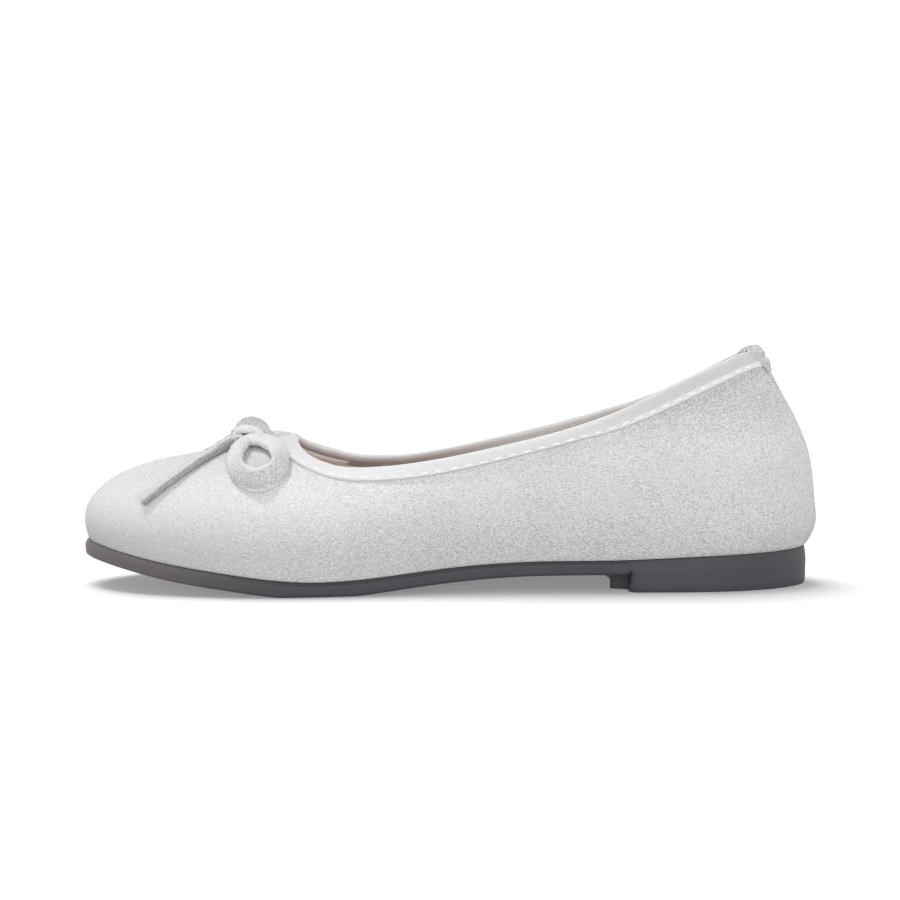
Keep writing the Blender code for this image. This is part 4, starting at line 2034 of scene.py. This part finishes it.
@dataclass
class Studio:
    """White floor, soft light from above and all round, and the photograph's camera.

    The key light from above and the weak, low front lamp are for the shoe alone. The floor has two
    lamps of its own, so that it is burnt out to white as in the photograph: one throws the narrow
    soft shadow under the shoe, and the fill throws none and keeps that shadow pale.
    """

    floor_half: float = 30.0
    floor_tone: float = 0.5
    horizon: float = 1.72
    zenith: float = 0.46
    ground: float = 0.35
    horizon_top: float = 0.16
    zenith_from: float = 0.5
    key_toward: Colour = (-0.30, 0.04, 0.95)
    key_power: float = 1.3
    key_angle: float = 6.0
    front_toward: Colour = (0.20, -0.97, 0.12)
    front_power: float = 1.15
    front_angle: float = 30.0
    floor_toward: Colour = (-0.24, 0.30, 1.0)
    floor_power: float = 4.0
    floor_angle: float = 40.0
    floor_fill_power: float = 1.8
    camera_place: Colour = (0.0, -0.650, 0.095)
    camera_down: float = 4.44
    lens: float = 77.2
    sensor: float = 36.0
    clip_start: float = 0.01

    def camera(self) -> None:
        """Set up the photograph's view."""
        data = bpy.data.cameras.new("camera")
        data.lens = self.lens
        data.sensor_width = self.sensor
        data.clip_start = self.clip_start
        camera = bpy.data.objects.new("camera", data)
        camera.location = self.camera_place
        camera.rotation_euler = (radians(90.0 - self.camera_down), 0.0, 0.0)
        bpy.context.scene.collection.objects.link(camera)
        bpy.context.scene.camera = camera

    def floor(self) -> bpy.types.Object:
        """Lay the floor.

        Returns:
            The floor.
        """
        tree = ShaderTree(bpy.data.materials.new("floor_pale"))
        tone = (self.floor_tone, self.floor_tone, self.floor_tone, 1.0)
        material = tree.finish(Base_Color=tone, Roughness=0.9, Specular_IOR_Level=0.0)
        bm = bmesh.new()
        bmesh.ops.create_grid(bm, x_segments=1, y_segments=1, size=self.floor_half)
        mesh = bpy.data.meshes.new("floor")
        bm.to_mesh(mesh)
        bm.free()
        mesh.materials.append(material)
        floor = bpy.data.objects.new("floor", mesh)
        bpy.context.scene.collection.objects.link(floor)
        floor.visible_diffuse = False
        return floor

    def sky(self) -> None:
        """Set a sky that is white at the horizon, and darker above and below."""
        world = bpy.data.worlds.new("studio")
        bpy.context.scene.world = world
        tree = ShaderTree(world)
        _, _, height = tree.split(tree.node("ShaderNodeTexCoord").outputs["Generated"])
        above = height.ease(self.horizon_top, self.zenith_from)
        below = (-1.0 * height).ease(0.0, self.horizon_top)
        rise = (self.zenith - self.horizon) * above
        fall = (self.ground - self.horizon) * below
        background = tree.tree.nodes["Background"]
        background.inputs["Color"].default_value = (1.0, 1.0, 1.0, 1.0)
        tree.feed(background.inputs["Strength"], self.horizon + rise + fall)

    def sun(
        self, name: str, toward: Colour, power: float, angle: float, lit: Sequence[bpy.types.Object]
    ) -> bpy.types.Light:
        """Add a soft lamp that lights only some objects.

        Args:
            name: name of the lamp.
            toward: direction from the shoe to the lamp.
            power: its strength.
            angle: how wide it looks, in degrees.
            lit: what it lights.

        Returns:
            The lamp.
        """
        lamp = bpy.data.lights.new(name, "SUN")
        lamp.energy = power
        lamp.angle = radians(angle)
        sun = bpy.data.objects.new(name, lamp)
        sun.rotation_euler = Vector(toward).to_track_quat("Z", "Y").to_euler()
        bpy.context.scene.collection.objects.link(sun)
        receivers = bpy.data.collections.new(f"lit_by_{name}")
        for piece in lit:
            receivers.objects.link(piece)
        sun.light_linking.receiver_collection = receivers
        return lamp

    def build(self) -> bpy.types.Object:
        """Set up the camera, the sky and the floor.

        Returns:
            The floor.
        """
        bpy.context.scene.view_settings.view_transform = "Standard"
        self.camera()
        self.sky()
        return self.floor()

    def light(self, floor: bpy.types.Object, pieces: Sequence[bpy.types.Object]) -> None:
        """Set the lamps of the floor and of the shoe.

        Args:
            floor: the floor.
            pieces: the shoe's pieces.
        """
        toward, angle = self.floor_toward, self.floor_angle
        self.sun("floor_lamp", toward, self.floor_power, angle, [floor])
        fill = self.sun("floor_fill", toward, self.floor_fill_power, angle, [floor])
        fill.use_shadow = False
        self.sun("key", self.key_toward, self.key_power, self.key_angle, pieces)
        self.sun("front", self.front_toward, self.front_power, self.front_angle, pieces)


def main() -> None:
    """Build the studio and the shoe's pieces."""
    logging.basicConfig(level=logging.INFO, format="%(message)s")
    studio = Studio()
    floor = studio.build()
    last = Last(STATIONS)
    suede = Suede().material()
    cloth = Lining().material()
    vamp = Upper(last).build(suede, cloth)
    # Each strap's raw face is rougher and greyed, partly as painted shade.
    wrap = StrapSuede("wrap_suede", raw_half=1.0, raw_and_shade_depth=0.7)
    fold = StrapSuede("fold_suede")
    loop = StrapSuede(
        "loop_suede", raw_along=0.46, raw_reach=0.3, raw_half=0.17, raw_and_shade_depth=0.4)
    # The tail's darker root and tip are painted shade on its shaded near side.
    tail = StrapSuede(
        "tail_suede",
        root=(0.30, 0.30, 0.30),
        tip=(0.76, 0.76, 0.76),
        raw_turn=0.0,
        raw_half=0.25,
        raw_and_shade_depth=1.0,
    )
    Bow(vamp, *(finish.material() for finish in (wrap, fold, loop, tail))).build()
    Binding(last).build(Thread().material())
    HeelTab(last).build(StrapSuede("tab_suede", raw_half=1.0, raw_and_shade_depth=0.15).material())
    Sole(last).build(Rubber().material())
    Footbed(last).build(cloth)
    studio.light(floor, PIECES)


if __name__ == "__main__":
    main()
